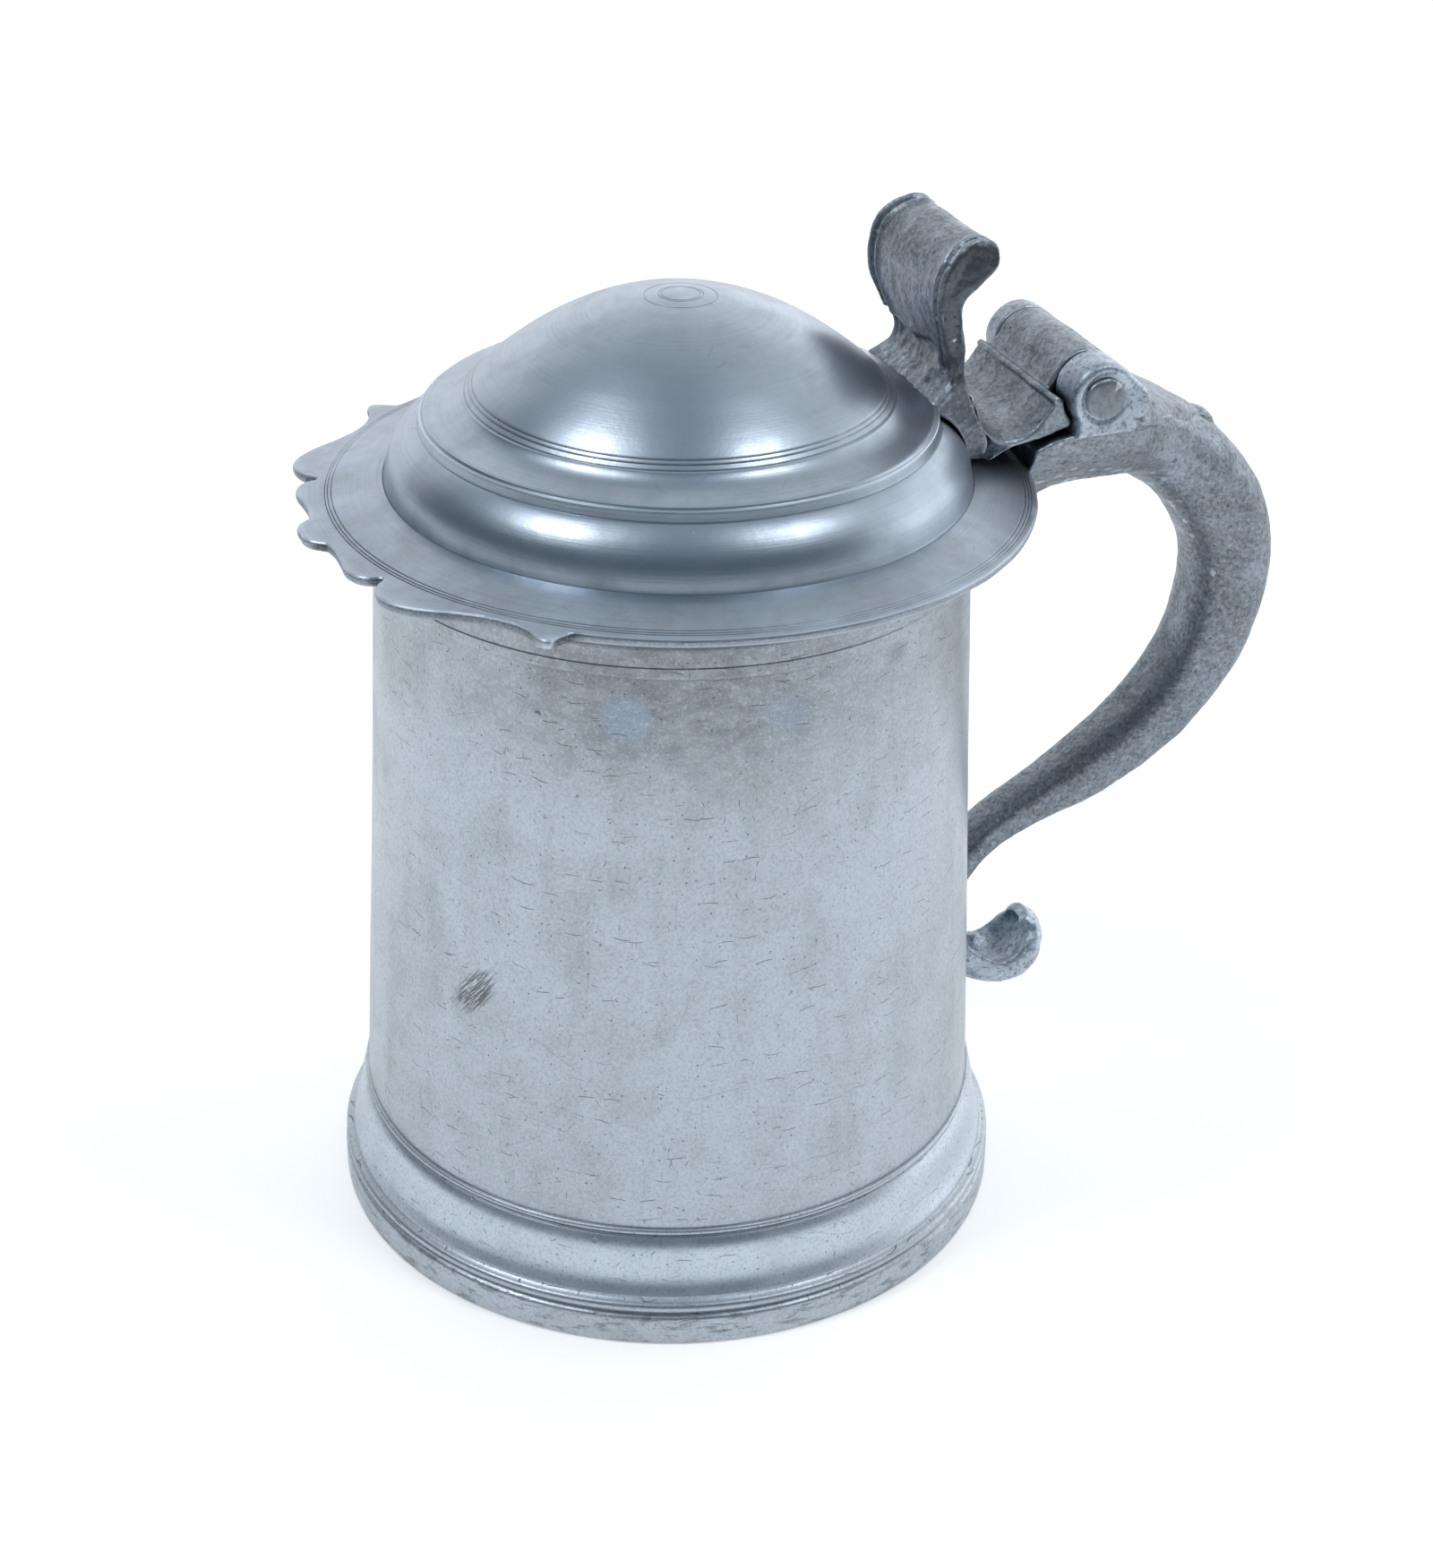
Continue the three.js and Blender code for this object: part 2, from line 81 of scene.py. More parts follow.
BARREL_RADIUS = 6.2
BARREL_ROOM_RADIUS = BARREL_RADIUS + 0.6
BORE_RADIUS = 2.55
PIN_RADIUS = 2.3
HINGE_HALF_WIDTH = 18.15
KNUCKLE_LOW_Y = -10.5
KNUCKLE_HIGH_Y = 13.0
SEAM_GAP = 0.35
SEAT_TOP = 145.3
SEAT_FRONT_X = 63.2
SEAT_BACK_X = 97.0
SEAT_RIM_RADIUS = 62.4
HANDLE_SINK = 0.4
TONGUE_FRONT_X = 78.0
TONGUE_BACK_X = 106.6
LUG_DISH_RADIUS = 4.9
LUG_DISH_DEPTH = 0.35
ARM_FLAT_HALF_WIDTH = 10.6
WRAP_RADIUS = 55.0


# ---- mesh helpers
def placed(points):
    """Points about the drum's axis in millimetres, as metres in the row's frame."""
    out = np.array(points, float)
    out[:, 0] += DRUM_AXIS_X
    return out * MM


def linked(name, data):
    """A new object in the scene."""
    obj = bpy.data.objects.new(name, data)
    bpy.context.scene.collection.objects.link(obj)
    return obj


def make_object(name, points, faces, sharp_degrees=40):
    """A smooth-shaded mesh of the given points and faces, in the scene."""
    mesh = bpy.data.meshes.new(name)
    mesh.from_pydata(placed(points).tolist(), [], faces)
    mesh.update()
    obj = linked(name, mesh)
    tidy_mesh(obj, sharp_degrees)
    return obj


def tidy_mesh(obj, sharp_degrees):
    """Merge doubled points, turn the faces outwards and shade smooth except at real edges."""
    bm = bmesh.new()
    bm.from_mesh(obj.data)
    bmesh.ops.remove_doubles(bm, verts=bm.verts, dist=0.002 * MM)
    bmesh.ops.recalc_face_normals(bm, faces=bm.faces)
    bm.to_mesh(obj.data)
    bm.free()
    obj.data.polygons.foreach_set("use_smooth", [True] * len(obj.data.polygons))
    obj.data.set_sharp_from_angle(angle=math.radians(sharp_degrees))
    obj.data.update()


def joined(name, objects):
    """One object that holds the meshes of several."""
    bm = bmesh.new()
    for obj in objects:
        bm.from_mesh(obj.data)
        bpy.data.objects.remove(obj)
    mesh = bpy.data.meshes.new(name)
    bm.to_mesh(mesh)
    bm.free()
    return linked(name, mesh)


def apply_modifiers(obj):
    """Makes what the modifiers show the object's own mesh."""
    graph = bpy.context.evaluated_depsgraph_get()
    mesh = bpy.data.meshes.new_from_object(obj.evaluated_get(graph))
    obj.modifiers.clear()
    obj.data = mesh


def melted(obj, voxel_mm, smooth_steps):
    """Runs overlapping solids together into one skin, and softens it as casting does."""
    remesh = obj.modifiers.new("remesh", "REMESH")
    remesh.mode = "VOXEL"
    remesh.voxel_size = voxel_mm * MM
    smooth = obj.modifiers.new("smooth", "SMOOTH")
    smooth.factor = 0.5
    smooth.iterations = smooth_steps
    apply_modifiers(obj)
    obj.data.polygons.foreach_set("use_smooth", [True] * len(obj.data.polygons))


def soften(obj, weight_at, steps):
    """Smooths part of a mesh, as much as weight_at(x, z) says there."""
    group = obj.vertex_groups.new(name="soft")
    for vertex in obj.data.vertices:
        weight = weight_at(vertex.co.x / MM - DRUM_AXIS_X, vertex.co.z / MM)
        group.add([vertex.index], float(weight), "REPLACE")
    smooth = obj.modifiers.new("soften", "SMOOTH")
    smooth.factor = 0.5
    smooth.iterations = steps
    smooth.vertex_group = group.name
    apply_modifiers(obj)
    obj.vertex_groups.clear()


def moved(obj, rule):
    """Moves each point of a mesh to rule(x, y, z), in millimetres about the drum's axis."""
    for vertex in obj.data.vertices:
        x, y, z = [value / MM for value in vertex.co]
        x, y, z = rule(x - DRUM_AXIS_X, y, z)
        vertex.co = [(x + DRUM_AXIS_X) * MM, y * MM, z * MM]
    obj.data.update()
    return obj


def wobble(obj, size_mm, depth_mm, seed, octaves=1):
    """Moves the surface in and out by smooth noise, for hand work and casting."""
    mesh = obj.data
    count = len(mesh.vertices)
    co = np.empty(count * 3)
    normal = np.empty(count * 3)
    mesh.vertices.foreach_get("co", co)
    mesh.vertices.foreach_get("normal", normal)
    co = co.reshape(-1, 3)
    normal = normal.reshape(-1, 3)
    shift = Vector((seed * 17.3, seed * 5.1, seed * 9.7))
    scale = 1 / (size_mm * MM)
    step = np.empty(count)
    for i, point in enumerate(co):
        at = Vector(point) * scale + shift
        step[i] = sum(noise.noise(at * 2**k) / 2**k for k in range(octaves))
    co += normal * (step * depth_mm * MM)[:, None]
    mesh.vertices.foreach_set("co", co.ravel())
    mesh.update()
    return obj


def value_at(line, x):
    """The value at x on a line of (x, value) corners."""
    return float(np.interp(x, *zip(*line)))


def ramp(value, start, end):
    """0 at the start, 1 at the end and straight between."""
    return min(1, max(0, (value - start) / (end - start)))


def arc(x, z, radius, from_degrees, to_degrees, steps):
    """Points along part of a circle in the XZ plane."""
    angles = np.radians(np.linspace(from_degrees, to_degrees, steps + 1))
    return [(x + radius * math.cos(a), z + radius * math.sin(a)) for a in angles]


def smooth_line(points, step_mm):
    """A Catmull-Rom curve through the points, cut into short steps."""
    p = np.array(points, float)
    p = np.vstack([2 * p[0] - p[1], p, 2 * p[-1] - p[-2]])
    out = []
    for before, start, end, after in zip(p, p[1:], p[2:], p[3:]):
        steps = max(2, int(np.linalg.norm(end[:2] - start[:2]) / step_mm))
        for t in np.arange(steps) / steps:
            linear = (end - before) * t
            square = (2 * before - 5 * start + 4 * end - after) * t**2
            cube = (3 * start - before - 3 * end + after) * t**3
            out.append(0.5 * (2 * start + linear + square + cube))
    out.append(p[-2])
    return [tuple(q) for q in out]


def rounded(points, radius, steps):
    """The outline with each corner replaced by a small curve, for worn or cast edges."""
    p = [Vector(q) for q in points]
    out = []
    for i, corner in enumerate(p):
        before = p[i - 1] - corner
        after = p[(i + 1) % len(p)] - corner
        reach = min(radius, before.length * 0.45, after.length * 0.45)
        a = corner + before.normalized() * reach
        b = corner + after.normalized() * reach
        for t in np.linspace(0, 1, steps + 1):
            out.append(tuple((1 - t) ** 2 * a + 2 * t * (1 - t) * corner + t**2 * b))
    return out


def resampled(points, step_mm):
    """The closed outline with extra points so that no edge is longer than the step."""
    out = []
    for start, end in zip(points, points[1:] + points[:1]):
        a = np.array(start, float)
        b = np.array(end, float)
        pieces = max(1, int(math.ceil(np.linalg.norm(b - a) / step_mm)))
        out += [tuple(a + (b - a) * k / pieces) for k in range(pieces)]
    return out


def quads(rows, n, rows_closed, row_closed):
    """Faces between neighbouring rows of n points; the rows, and each row, may close on themselves."""
    faces = []
    for i in range(rows if rows_closed else rows - 1):
        j = (i + 1) % rows
        for k in range(n if row_closed else n - 1):
            m = (k + 1) % n
            faces.append((i * n + k, j * n + k, j * n + m, i * n + m))
    return faces


def all_round(steps):
    """Evenly spaced angles for a full turn."""
    return [2 * math.pi * i / steps for i in range(steps)]


def turned(name, profile, angles, axis_x=0, edge=None, sharp_degrees=32):
    """A lathe solid about Z. `edge(angle, radius)` may move the rim in or out round the piece."""
    ring = [q for i, q in enumerate(profile) if i == 0 or q != profile[i - 1]]
    closed = ring[0] == ring[-1]
    if closed:
        ring = ring[:-1]
    points = []
    for angle in angles:
        for radius, z in ring:
            r = edge(angle, radius) if edge else radius
            points.append((axis_x + r * math.cos(angle), r * math.sin(angle), z))
    return make_object(name, points, quads(len(angles), len(ring), True, closed), sharp_degrees)


def loft(name, rings):
    """A skin over a row of rings that have the same number of points, with flat ends."""
    n = len(rings[0])
    points = [p for ring in rings for p in ring]
    last = (len(rings) - 1) * n
    ends = [tuple(range(n))[::-1], tuple(range(last, last + n))]
    sides = [(a, d, c, b) for a, b, c, d in quads(len(rings), n, False, True)]
    return make_object(name, points, sides + ends)


def layered(name, outline, layers):
    """An XZ outline carried along Y; each layer is a Y and how far the outline is drawn in there."""
    return loft(name, [[(x, y, z) for x, z in inset(outline, depth)] for y, depth in layers])


def sideways(name, outline, low_y, high_y, edge_mm):
    """An XZ outline carried along Y, with its two rims rounded over by edge_mm."""
    rim = [(0, edge_mm), (0.3 * edge_mm, 0.3 * edge_mm), (edge_mm, 0)]
    layers = [(low_y + into, depth) for into, depth in rim]
    layers += [(high_y - into, depth) for into, depth in rim[::-1]]
    return layered(name, outline, layers)


def inset(outline, depth):
    """The closed outline moved inwards by depth."""
    if depth == 0:
        return outline
    p = np.array(outline, float)
    along = np.roll(p, -1, 0) - np.roll(p, 1, 0)
    along /= np.maximum(np.linalg.norm(along, axis=1), 1e-9)[:, None]
    normal = np.stack([-along[:, 1], along[:, 0]], 1)
    area = np.sum(p[:, 0] * np.roll(p[:, 1], -1) - np.roll(p[:, 0], -1) * p[:, 1])
    return [tuple(q) for q in p + normal * depth * (1 if area > 0 else -1)]


def cut_away(obj, tool):
    """Takes the tool's solid out of the object, and the tool out of the scene."""
    boolean = obj.modifiers.new("cut", "BOOLEAN")
    boolean.operation = "DIFFERENCE"
    boolean.solver = "EXACT"
    boolean.object = tool
    apply_modifiers(obj)
    bpy.data.objects.remove(tool)


def shown(obj, body, slot, material, *nodes):
    """Puts a finished piece in the frame: its body, its finish and the CAD nodes it stands for."""
    obj.data.materials.clear()
    obj.data.materials.append(material)
    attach(obj, body)
    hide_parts(*nodes)


# ---- drum and foot
def drum_radius(z):
    """The wall's outer radius, which shrinks evenly from the foot to the band."""
    share = (z - DRUM_BOTTOM) / (BAND_BOTTOM - DRUM_BOTTOM)
    return DRUM_BOTTOM_RADIUS + share * (DRUM_TOP_RADIUS - DRUM_BOTTOM_RADIUS)


def engraved(profile, radii, width, depth):
    """Cuts V-shaped lines into a profile whose radius falls from point to point."""
    r = np.array([p[0] for p in profile])[::-1]
    z = np.array([p[1] for p in profile])[::-1]
    out = list(profile)
    for radius in radii:
        sides = [(x, float(np.interp(x, r, z))) for x in (radius + width / 2, radius - width / 2)]
        middle = (radius, float(np.interp(radius, r, z)) - depth)
        out = [p for p in out if abs(p[0] - radius) > width / 2 + 0.02] + [*sides, middle]
    return sorted(out, key=lambda p: -p[0])


def build_drum():
    """The tapered wall, the flat band under the lid with its fine groove, and the rim."""
    heights = np.linspace(DRUM_BOTTOM - 0.1, BAND_BOTTOM - 1, 30)
    wall = [(drum_radius(z), float(z)) for z in heights]
    band = [
        (drum_radius(127) - 0.02, 127), (52, 127.12), (52.5, 127.2), (52.74, 127.38), (52.84, 127.7),
        (BAND_RADIUS, 128.1), (BAND_RADIUS, 129.2), (52.68, 129.35), (BAND_RADIUS, 129.5),
        (BAND_RADIUS, 132), (BAND_RADIUS, 135), (BAND_RADIUS, 137.8), (52.68, 138.3),
        (52.3, RIM_TOP - 0.1), (51.9, RIM_TOP),
    ]
    rim = [(50.9, RIM_TOP), (50.35, RIM_TOP - 0.15), (50.05, RIM_TOP - 0.6)]
    inside = [(drum_radius(z) - DRUM_WALL, float(z)) for z in heights[::-1]]
    profile = wall + band + rim + inside
    obj = turned("drum_body", profile + profile[:1], all_round(360))
    return wobble(obj, 55, 0.16, 1)


def build_foot():
    """From below: a flat band, a bead, a hollow-curved skirt and a small bead under the drum."""
    bead = arc(60.95, 7.55, 1.02, -82, 82, 12)
    small_bead = arc(57.16, 21.2, 0.62, -70, 70, 10)
    skirt = smooth_line([(60.5, 9.15), (60.15, 9.9), (59.45, 11.3), (58.98, 12.9), (58.8, 14.5),
                         (58.74, 16), (58.6, 17.5), (58.25, 18.7), (57.75, 19.6), (57.45, 20)], 0.5)
    inner = FOOT_RADIUS - 3.0
    top = DRUM_BOTTOM - 0.05
    profile = [
        (inner, 0), (FOOT_RADIUS - 0.9, 0), (FOOT_RADIUS - 0.35, 0.08), (FOOT_RADIUS - 0.08, 0.3),
        (FOOT_RADIUS, 0.7), (FOOT_RADIUS, 2), (FOOT_RADIUS, 3.6), (FOOT_RADIUS, 5.1), (62.02, 5.5),
        (61.8, 5.8), (61.45, 5.98), (61.1, 6.2), (61, 6.42), *bead, (60.75, 8.74), (60.52, 8.9), *skirt,
        (57.28, 20.12), (57.3, 20.22), (57.56, 20.36), (57.3, 20.52), *small_bead, (57.1, top),
        (54.8, top), (54.8, 17.5), (56.6, 12), (57.6, 8), (inner, 5.5),
    ]
    obj = turned("foot_moulding", profile + profile[:1], all_round(360))
    return wobble(obj, 40, 0.12, 2)


def build_base():
    """The drum's floor, a little domed, with turning lines inside and a centre mark underneath."""
    top = DRUM_BOTTOM - 0.15
    floor = [(54.5, top), (49, top + 0.1), (42.5, top + 0.3), (30, top + 0.5), (15, top + 0.7),
             (0, top + 0.8)]
    under = [(0, top - 1.2), (6, top - 1.2), (6.4, top - 1.05), (6.8, top - 1.2), (30, top - 1.5),
             (42.5, top - 1.7), (54.5, top - 2)]
    profile = engraved(floor, (12, 28, 40), 0.5, 0.2) + under
    obj = turned("drum_floor", profile + profile[:1], all_round(180))
    return wobble(obj, 30, 0.1, 3)


# ---- lid
# The toothed lip's outline, corner to corner: the angle from its middle in degrees, and the radius there.
LIP_CURVES = [
    [(0, 66.9), (1.5, 66.95), (3, 66.5), (4.3, 65)],
    [(4.3, 65), (5.2, 64.2), (8, 63.9), (11, 64.5), (14.5, 65.65), (17, 65.6), (18.6, 64.6),
     (19.6, 62.9)],
    [(19.6, 62.9), (20.6, 62.8), (21.6, 65), (23.4, 66.6), (25.5, 67.6), (27.5, 67.7), (30, 67),
     (33, 65.6), (36, 63.9), (40.5, 62.4), (44.5, 62.3), (48, 63.6), (50.2, 65.6), (51.3, 66.2)],
    [(51.3, 66.2), (52.2, 65.9), (53, 64), (54.2, 62)],
]
LIP_LINE = np.array([p for curve in LIP_CURVES for p in smooth_line(curve, 0.3)])


def lid_edge(angle, radius):
    """Carries the flange's rim out to the toothed lip at the front, and lets the rim waver a little."""
    if radius < LIP_START_RADIUS:
        return radius
    turn = angle - math.pi
    off_front = abs(math.degrees(math.atan2(math.sin(turn), math.cos(turn))))
    lip_radius = float(np.interp(off_front, LIP_LINE[:, 0], LIP_LINE[:, 1], right=LIP_ROOT_RADIUS))
    worn = noise.noise(Vector((math.cos(angle) * 9, math.sin(angle) * 9, 4))) * 0.12
    return radius + (lip_radius - LIP_ROOT_RADIUS) + worn


# Radii of the engraved lines.
FLANGE_LINES = (60.8, 60.3, 59.7)
DOME_LINES = (36.6, 35.85, 35.25)
CROWN_LINES = (6.2, 3.8, 3.3)


def lid_top():
    """The lid's outer profile: flange, ovolo, ledge, hollow tier, shoulder and dome."""
    flange = [(61.14, 138.95), (61, 139), (58.5, 139.6), (56, 140.1), (53.5, 140.65),
              (51.3, 141.12), (50.95, 141.16), (50.82, 141.08)]
    ovolo = smooth_line([(50.72, 141.3), (50.55, 142.3), (50.28, 143.6), (49.85, 145), (49.2, 146.4),
                         (48.35, 147.65), (47.4, 148.75), (46.35, 149.7), (45.5, 150.35),
                         (44.9, 150.7)], 0.6)
    ledge = [(44.72, 150.72), (44.6, 151), (44.5, 152), (44.35, 152.45), (44.12, 152.6),
             (43.95, 152.55), (43.84, 152.65)]
    tier = smooth_line([(43.7, 152.95), (43.3, 153.1), (42.6, 153.25), (41, 153.6),
                        (39.5, 154.1), (38.3, 154.75), (37.5, 155.4), (37.05, 155.9)], 0.5)
    shoulder = [(37, 155.98), (36.85, 156.05), (36.6, 156.25)]
    dome = smooth_line([(36.3, 156.5), (35.5, 157.3), (34, 158.7), (32.5, 160), (30, 161.95),
                        (26, 164.8), (21, 167.75), (15, 170.4), (9, 172.1), (4, 172.85),
                        (1.5, 172.98), (0, 173)], 0.8)
    top = flange + ovolo + ledge + tier + shoulder + dome
    top = engraved(top, FLANGE_LINES, 0.26, 0.13)
    top = engraved(top, DOME_LINES, 0.24, 0.1)
    return engraved(top, CROWN_LINES, 0.24, 0.07)


def build_lid():
    """The lid's shell, with more steps round the front, where the toothed lip is."""
    inside = [
        (0, 171.3), (7, 170.6), (13.4, 168.8), (20, 165.4), (26, 161.4), (32.6, 155.6), (36, 154),
        (43, 151.3), (46.2, 149.6), (48.5, 146), (48.7, 141.4), (49.4, 140.2), (55, 138.75),
        (60.4, 137.4),
    ]
    rim = [(61.2, 137.26), (61.6, 137.28), (61.88, 137.5), (62, 137.85), (62, 138.35), (61.86, 138.68),
           (61.55, 138.88)]
    front = np.arange(126, 234.01, 0.36)
    back = np.arange(234.8, 485.2, 1.2)
    angles = np.radians(np.concatenate([front, back]))
    obj = turned("lid_dome", inside + rim + lid_top(), list(angles), LID_AXIS_X, lid_edge, 28)
    return wobble(obj, 45, 0.14, 4)


# ---- handle
# Stations along the handle: x, z, half thickness in the plane of the handle, half width across it, and
# how square the inner half of the section is (2 is round).
HANDLE_STATIONS = [
    (46, 125.6, 4.2, 6.4, 2.2), (55, 127.6, 4, 6.2, 2.2), (63, 130.2, 3.9, 6.1, 2.2),
    (71, 133.6, 4.4, 6.6, 2.2), (79, 136.6, 5.4, 7.8, 2.2), (86.5, 137.3, 6.9, 9, 2.2),
    (93.5, 135.2, 7.9, 9.5, 2.2), (100.5, 130.5, 8.3, 9.3, 2.3), (106.6, 123.8, 8.45, 9.2, 2.4),
    (110.9, 115.4, 8.4, 8.9, 2.5), (112.3, 106.5, 8.2, 8.5, 2.7), (111.2, 97.6, 7.8, 8.1, 3),
    (108, 89.2, 7.3, 7.6, 3.2), (102.6, 81, 6.9, 7.3, 3.6), (95.1, 73.6, 6.6, 6.9, 3.8),
    (86, 67.8, 5.9, 6.2, 3.8), (76.5, 63.3, 4.8, 5.3, 3.6), (68, 59.1, 3.9, 4.9, 3.4),
    (61.8, 54.6, 3.2, 4.7, 3.2), (58.6, 49.3, 2.6, 4.4, 3), (57.4, 44.6, 2.4, 4.2, 3),
    (57.2, 41, 2.4, 4.2, 3),
]
TERMINAL_STATIONS = [
    (57.2, 41.6, 2.4, 4.2), (57.6, 37, 2.7, 4.6), (59.4, 32.4, 3.2, 5.4), (63.2, 28.8, 3.6, 6.2),
    (67.4, 27.2, 3.7, 6.8), (71.8, 28.2, 3.8, 7), (74.6, 31.6, 3.5, 6.6), (74.9, 34.6, 2.8, 5.2),
    (73.6, 36.9, 1.7, 3),
]


def power(value, exponent):
    """A power that keeps the sign of the value."""
    return math.copysign(abs(value) ** exponent, value)


def swept(name, stations, section):
    """A skin whose section, given in shares of the half width and half thickness, follows the stations."""
    line = np.array(smooth_line(stations, 0.8))
    tangent = np.gradient(line[:, :2], axis=0)
    tangent /= np.linalg.norm(tangent, axis=1)[:, None]
    rings = []
    for (x, z, thick, wide, *more), (tx, tz) in zip(line, tangent):
        ring = []
        for across, through in section(*more):
            ring.append((x - tz * thick * through, wide * across, z + tx * thick * through))
        rings.append(ring)
    return loft(name, rings)


def handle_section(square):
    """Round on the outer half; the inner half flattens as `square` grows."""
    ring = []
    for angle in np.linspace(0, 2 * math.pi, 56, endpoint=False):
        c, s = math.cos(angle), math.sin(angle)
        n = 2.15 if s >= 0 else square
        ring.append((power(c, 2 / n), power(s, 2 / n)))
    return ring


def out_of_drum(x, y, z):
    """Where a point of the handle goes so that its inner end fits against the drum's wall."""
    wall = drum_radius(min(z, BAND_BOTTOM)) - HANDLE_SINK
    radius = math.hypot(x, y)
    if z > RIM_TOP or radius >= wall:
        return x, y, z
    return x * wall / radius, y * wall / radius, z


def seat_x(x, y, near_rim):
    """Bends the seat's front round the drum, fully at the rim."""
    return x - near_rim * 0.85 * (SEAT_RIM_RADIUS - math.sqrt(SEAT_RIM_RADIUS**2 - y**2))


def build_seat():
    """The flared seat under the hinge: wide on top for the lugs, narrow where it meets the handle."""
    top_line = [(SEAT_FRONT_X, 142.5), (66, 144.6), (68.4, SEAT_TOP), (84, SEAT_TOP), (90, 144.4),
                (SEAT_BACK_X, 140)]
    low_line = [(SEAT_FRONT_X, 134.6), (64.2, 133.4), (70, 131.5), (80, 132.5), (SEAT_BACK_X, 131.5)]
    flare = [(130, 6.5), (133, 9.2), (136, 12), (139, 14.5), (141.6, 16.2), (144, 17.2),
             (150, 17.4)]
    plan = [(SEAT_FRONT_X, 15.8), (67, 17.6), (79, 17.6), (82.5, 16.4), (86.5, 13.8), (91, 11.4),
            (SEAT_BACK_X, 9)]
    rings = []
    for x in np.arange(SEAT_FRONT_X, SEAT_BACK_X + 0.01, 0.65):
        top = value_at(top_line, x)
        if abs(x - HINGE_X) < BARREL_ROOM_RADIUS:
            top = min(top, HINGE_Z - math.sqrt(BARREL_ROOM_RADIUS**2 - (x - HINGE_X) ** 2))
        limit = value_at(plan, x)
        heights = np.linspace(value_at(low_line, x), top, 18)
        side = [(min(limit, value_at(flare, z)), float(z)) for z in heights]
        near_rim = max(0, 1 - (x - SEAT_FRONT_X) / 6)
        rings.append([(seat_x(x, y, near_rim), -y, z) for y, z in side]
                     + [(seat_x(x, y, near_rim), y, z) for y, z in side[::-1]])
    return loft("seat", rings)


def seat_blend(x, z):
    """How much the join of seat and handle is smoothed: fully under the hinge, not at all beyond it."""
    return (z < 143.6) * np.interp(x, [66, 76, 98, 104], [0, 1, 1, 0])


def build_handle():
    """The swan-neck sweep and the hinge seat, cast in one."""
    sweep = swept("sweep", HANDLE_STATIONS, handle_section)
    whole = joined("handle_casting", [sweep, build_seat()])
    melted(whole, 0.42, 4)
    soften(whole, seat_blend, 90)
    moved(whole, out_of_drum)
    wobble(whole, 14, 0.35, 5, 2)
    return wobble(whole, 2.2, 0.09, 6, 2)


def terminal_section():
    """A scooped section: a round back and a hollow face between two rims."""
    back = [(math.cos(a), -math.sin(a)) for a in np.radians(np.linspace(0, 180, 25))]
    face = [(-1, 0.35), (-0.98, 0.66), (-0.91, 0.8), (-0.8, 0.72), (-0.6, 0.42), (-0.35, 0.2),
            (0, 0.12)]
    return back + face + [(-x, v) for x, v in face[-2::-1]]


def build_terminal():
    """The hook at the foot of the handle."""
    hook = swept("handle_hook", TERMINAL_STATIONS, terminal_section)
    melted(hook, 0.3, 2)
    moved(hook, out_of_drum)
    wobble(hook, 5, 0.3, 7, 2)
    return wobble(hook, 1.3, 0.1, 8)


def build_tongue():
    """A flat-topped rib that narrows down the back of the handle to a nub."""
    crest = [(TONGUE_FRONT_X, 152.8), (82, 150.9), (87, 148.5), (93.5, 145.2), (100, 141.7),
             (101.6, 140.3), (102.6, 140.3), (104, 139.7), (105.2, 138.6), (TONGUE_BACK_X, 136.4)]
    plan = [(TONGUE_FRONT_X, 15), (81, 15.6), (82.6, 15), (86, 12.4), (90, 10.2), (98, 5.2),
            (101.6, 2.6), (102.6, 2.9), (104.4, 2.4), (105.6, 1.8), (TONGUE_BACK_X, 0.9)]
    low = [(TONGUE_FRONT_X, 144.6), (84, 144), (90, 141.5), (97, 136), (103, 131.5),
           (TONGUE_BACK_X, 130)]
    rings = []
    for x in np.arange(TONGUE_FRONT_X, TONGUE_BACK_X + 0.01, 0.5):
        z = value_at(crest, x)
        wide = value_at(plan, x)
        fall = 0.7 + 0.05 * wide
        drop = [(0, 0), (0.5, 0.22 * fall), (0.86, 0.55 * fall), (1, fall), (1.12, fall + 1.4),
                (1.2, fall + 3.5)]
        side = [(wide * share, z - down) for share, down in drop] + [(wide * 1.1, value_at(low, x))]
        rings.append([(x, -y, h) for y, h in side[::-1]] + [(x, y, h) for y, h in side[1:]])
    rib = loft("handle_rib", rings)
    room = sideways("room", arc(HINGE_X, HINGE_Z, BARREL_ROOM_RADIUS, 0, 354, 60), -20, 20, 0.1)
    cut_away(rib, room)
    melted(rib, 0.35, 3)
    return wobble(rib, 3, 0.12, 9, 2)


# Middle of the lid's shell: radius about the lid's axis against height, from the flange inwards.
LID_MIDDLE = np.array([
    (60, 138.4), (51.4, 140.7), (49.9, 141.6), (49.8, 144.2), (49.5, 146), (48.9, 147.3), (48.1, 148.7),
    (47.1, 149.9), (46.1, 150.7), (45, 151.4), (43.7, 152), (41, 152.7), (38.1, 153.8), (36.2, 155.1),
    (33.8, 155.8), (30, 159.9),
])


def above_lid_middle(x, y, z):
    """Moves a point that would show inside the lid's hollow up into the thickness of its shell."""
    starts = LID_MIDDLE[:-1]
    spans = LID_MIDDLE[1:] - starts
    x -= LID_AXIS_X
    radius = math.hypot(x, y)
    if radius <= LID_INSIDE_RADIUS and z <= LID_INSIDE_TOP:
        point = np.array([radius, z])
        share = np.clip(np.sum((point - starts) * spans, 1) / np.sum(spans**2, 1), 0, 1)
        nearest = starts + spans * share[:, None]
        i = int(np.argmin(np.sum((nearest - point) ** 2, 1)))
        away = point - nearest[i]
        if spans[i][0] * away[1] - spans[i][1] * away[0] > 0:
            x, y, z = x * nearest[i][0] / radius, y * nearest[i][0] / radius, nearest[i][1]
    return x + LID_AXIS_X, y, z


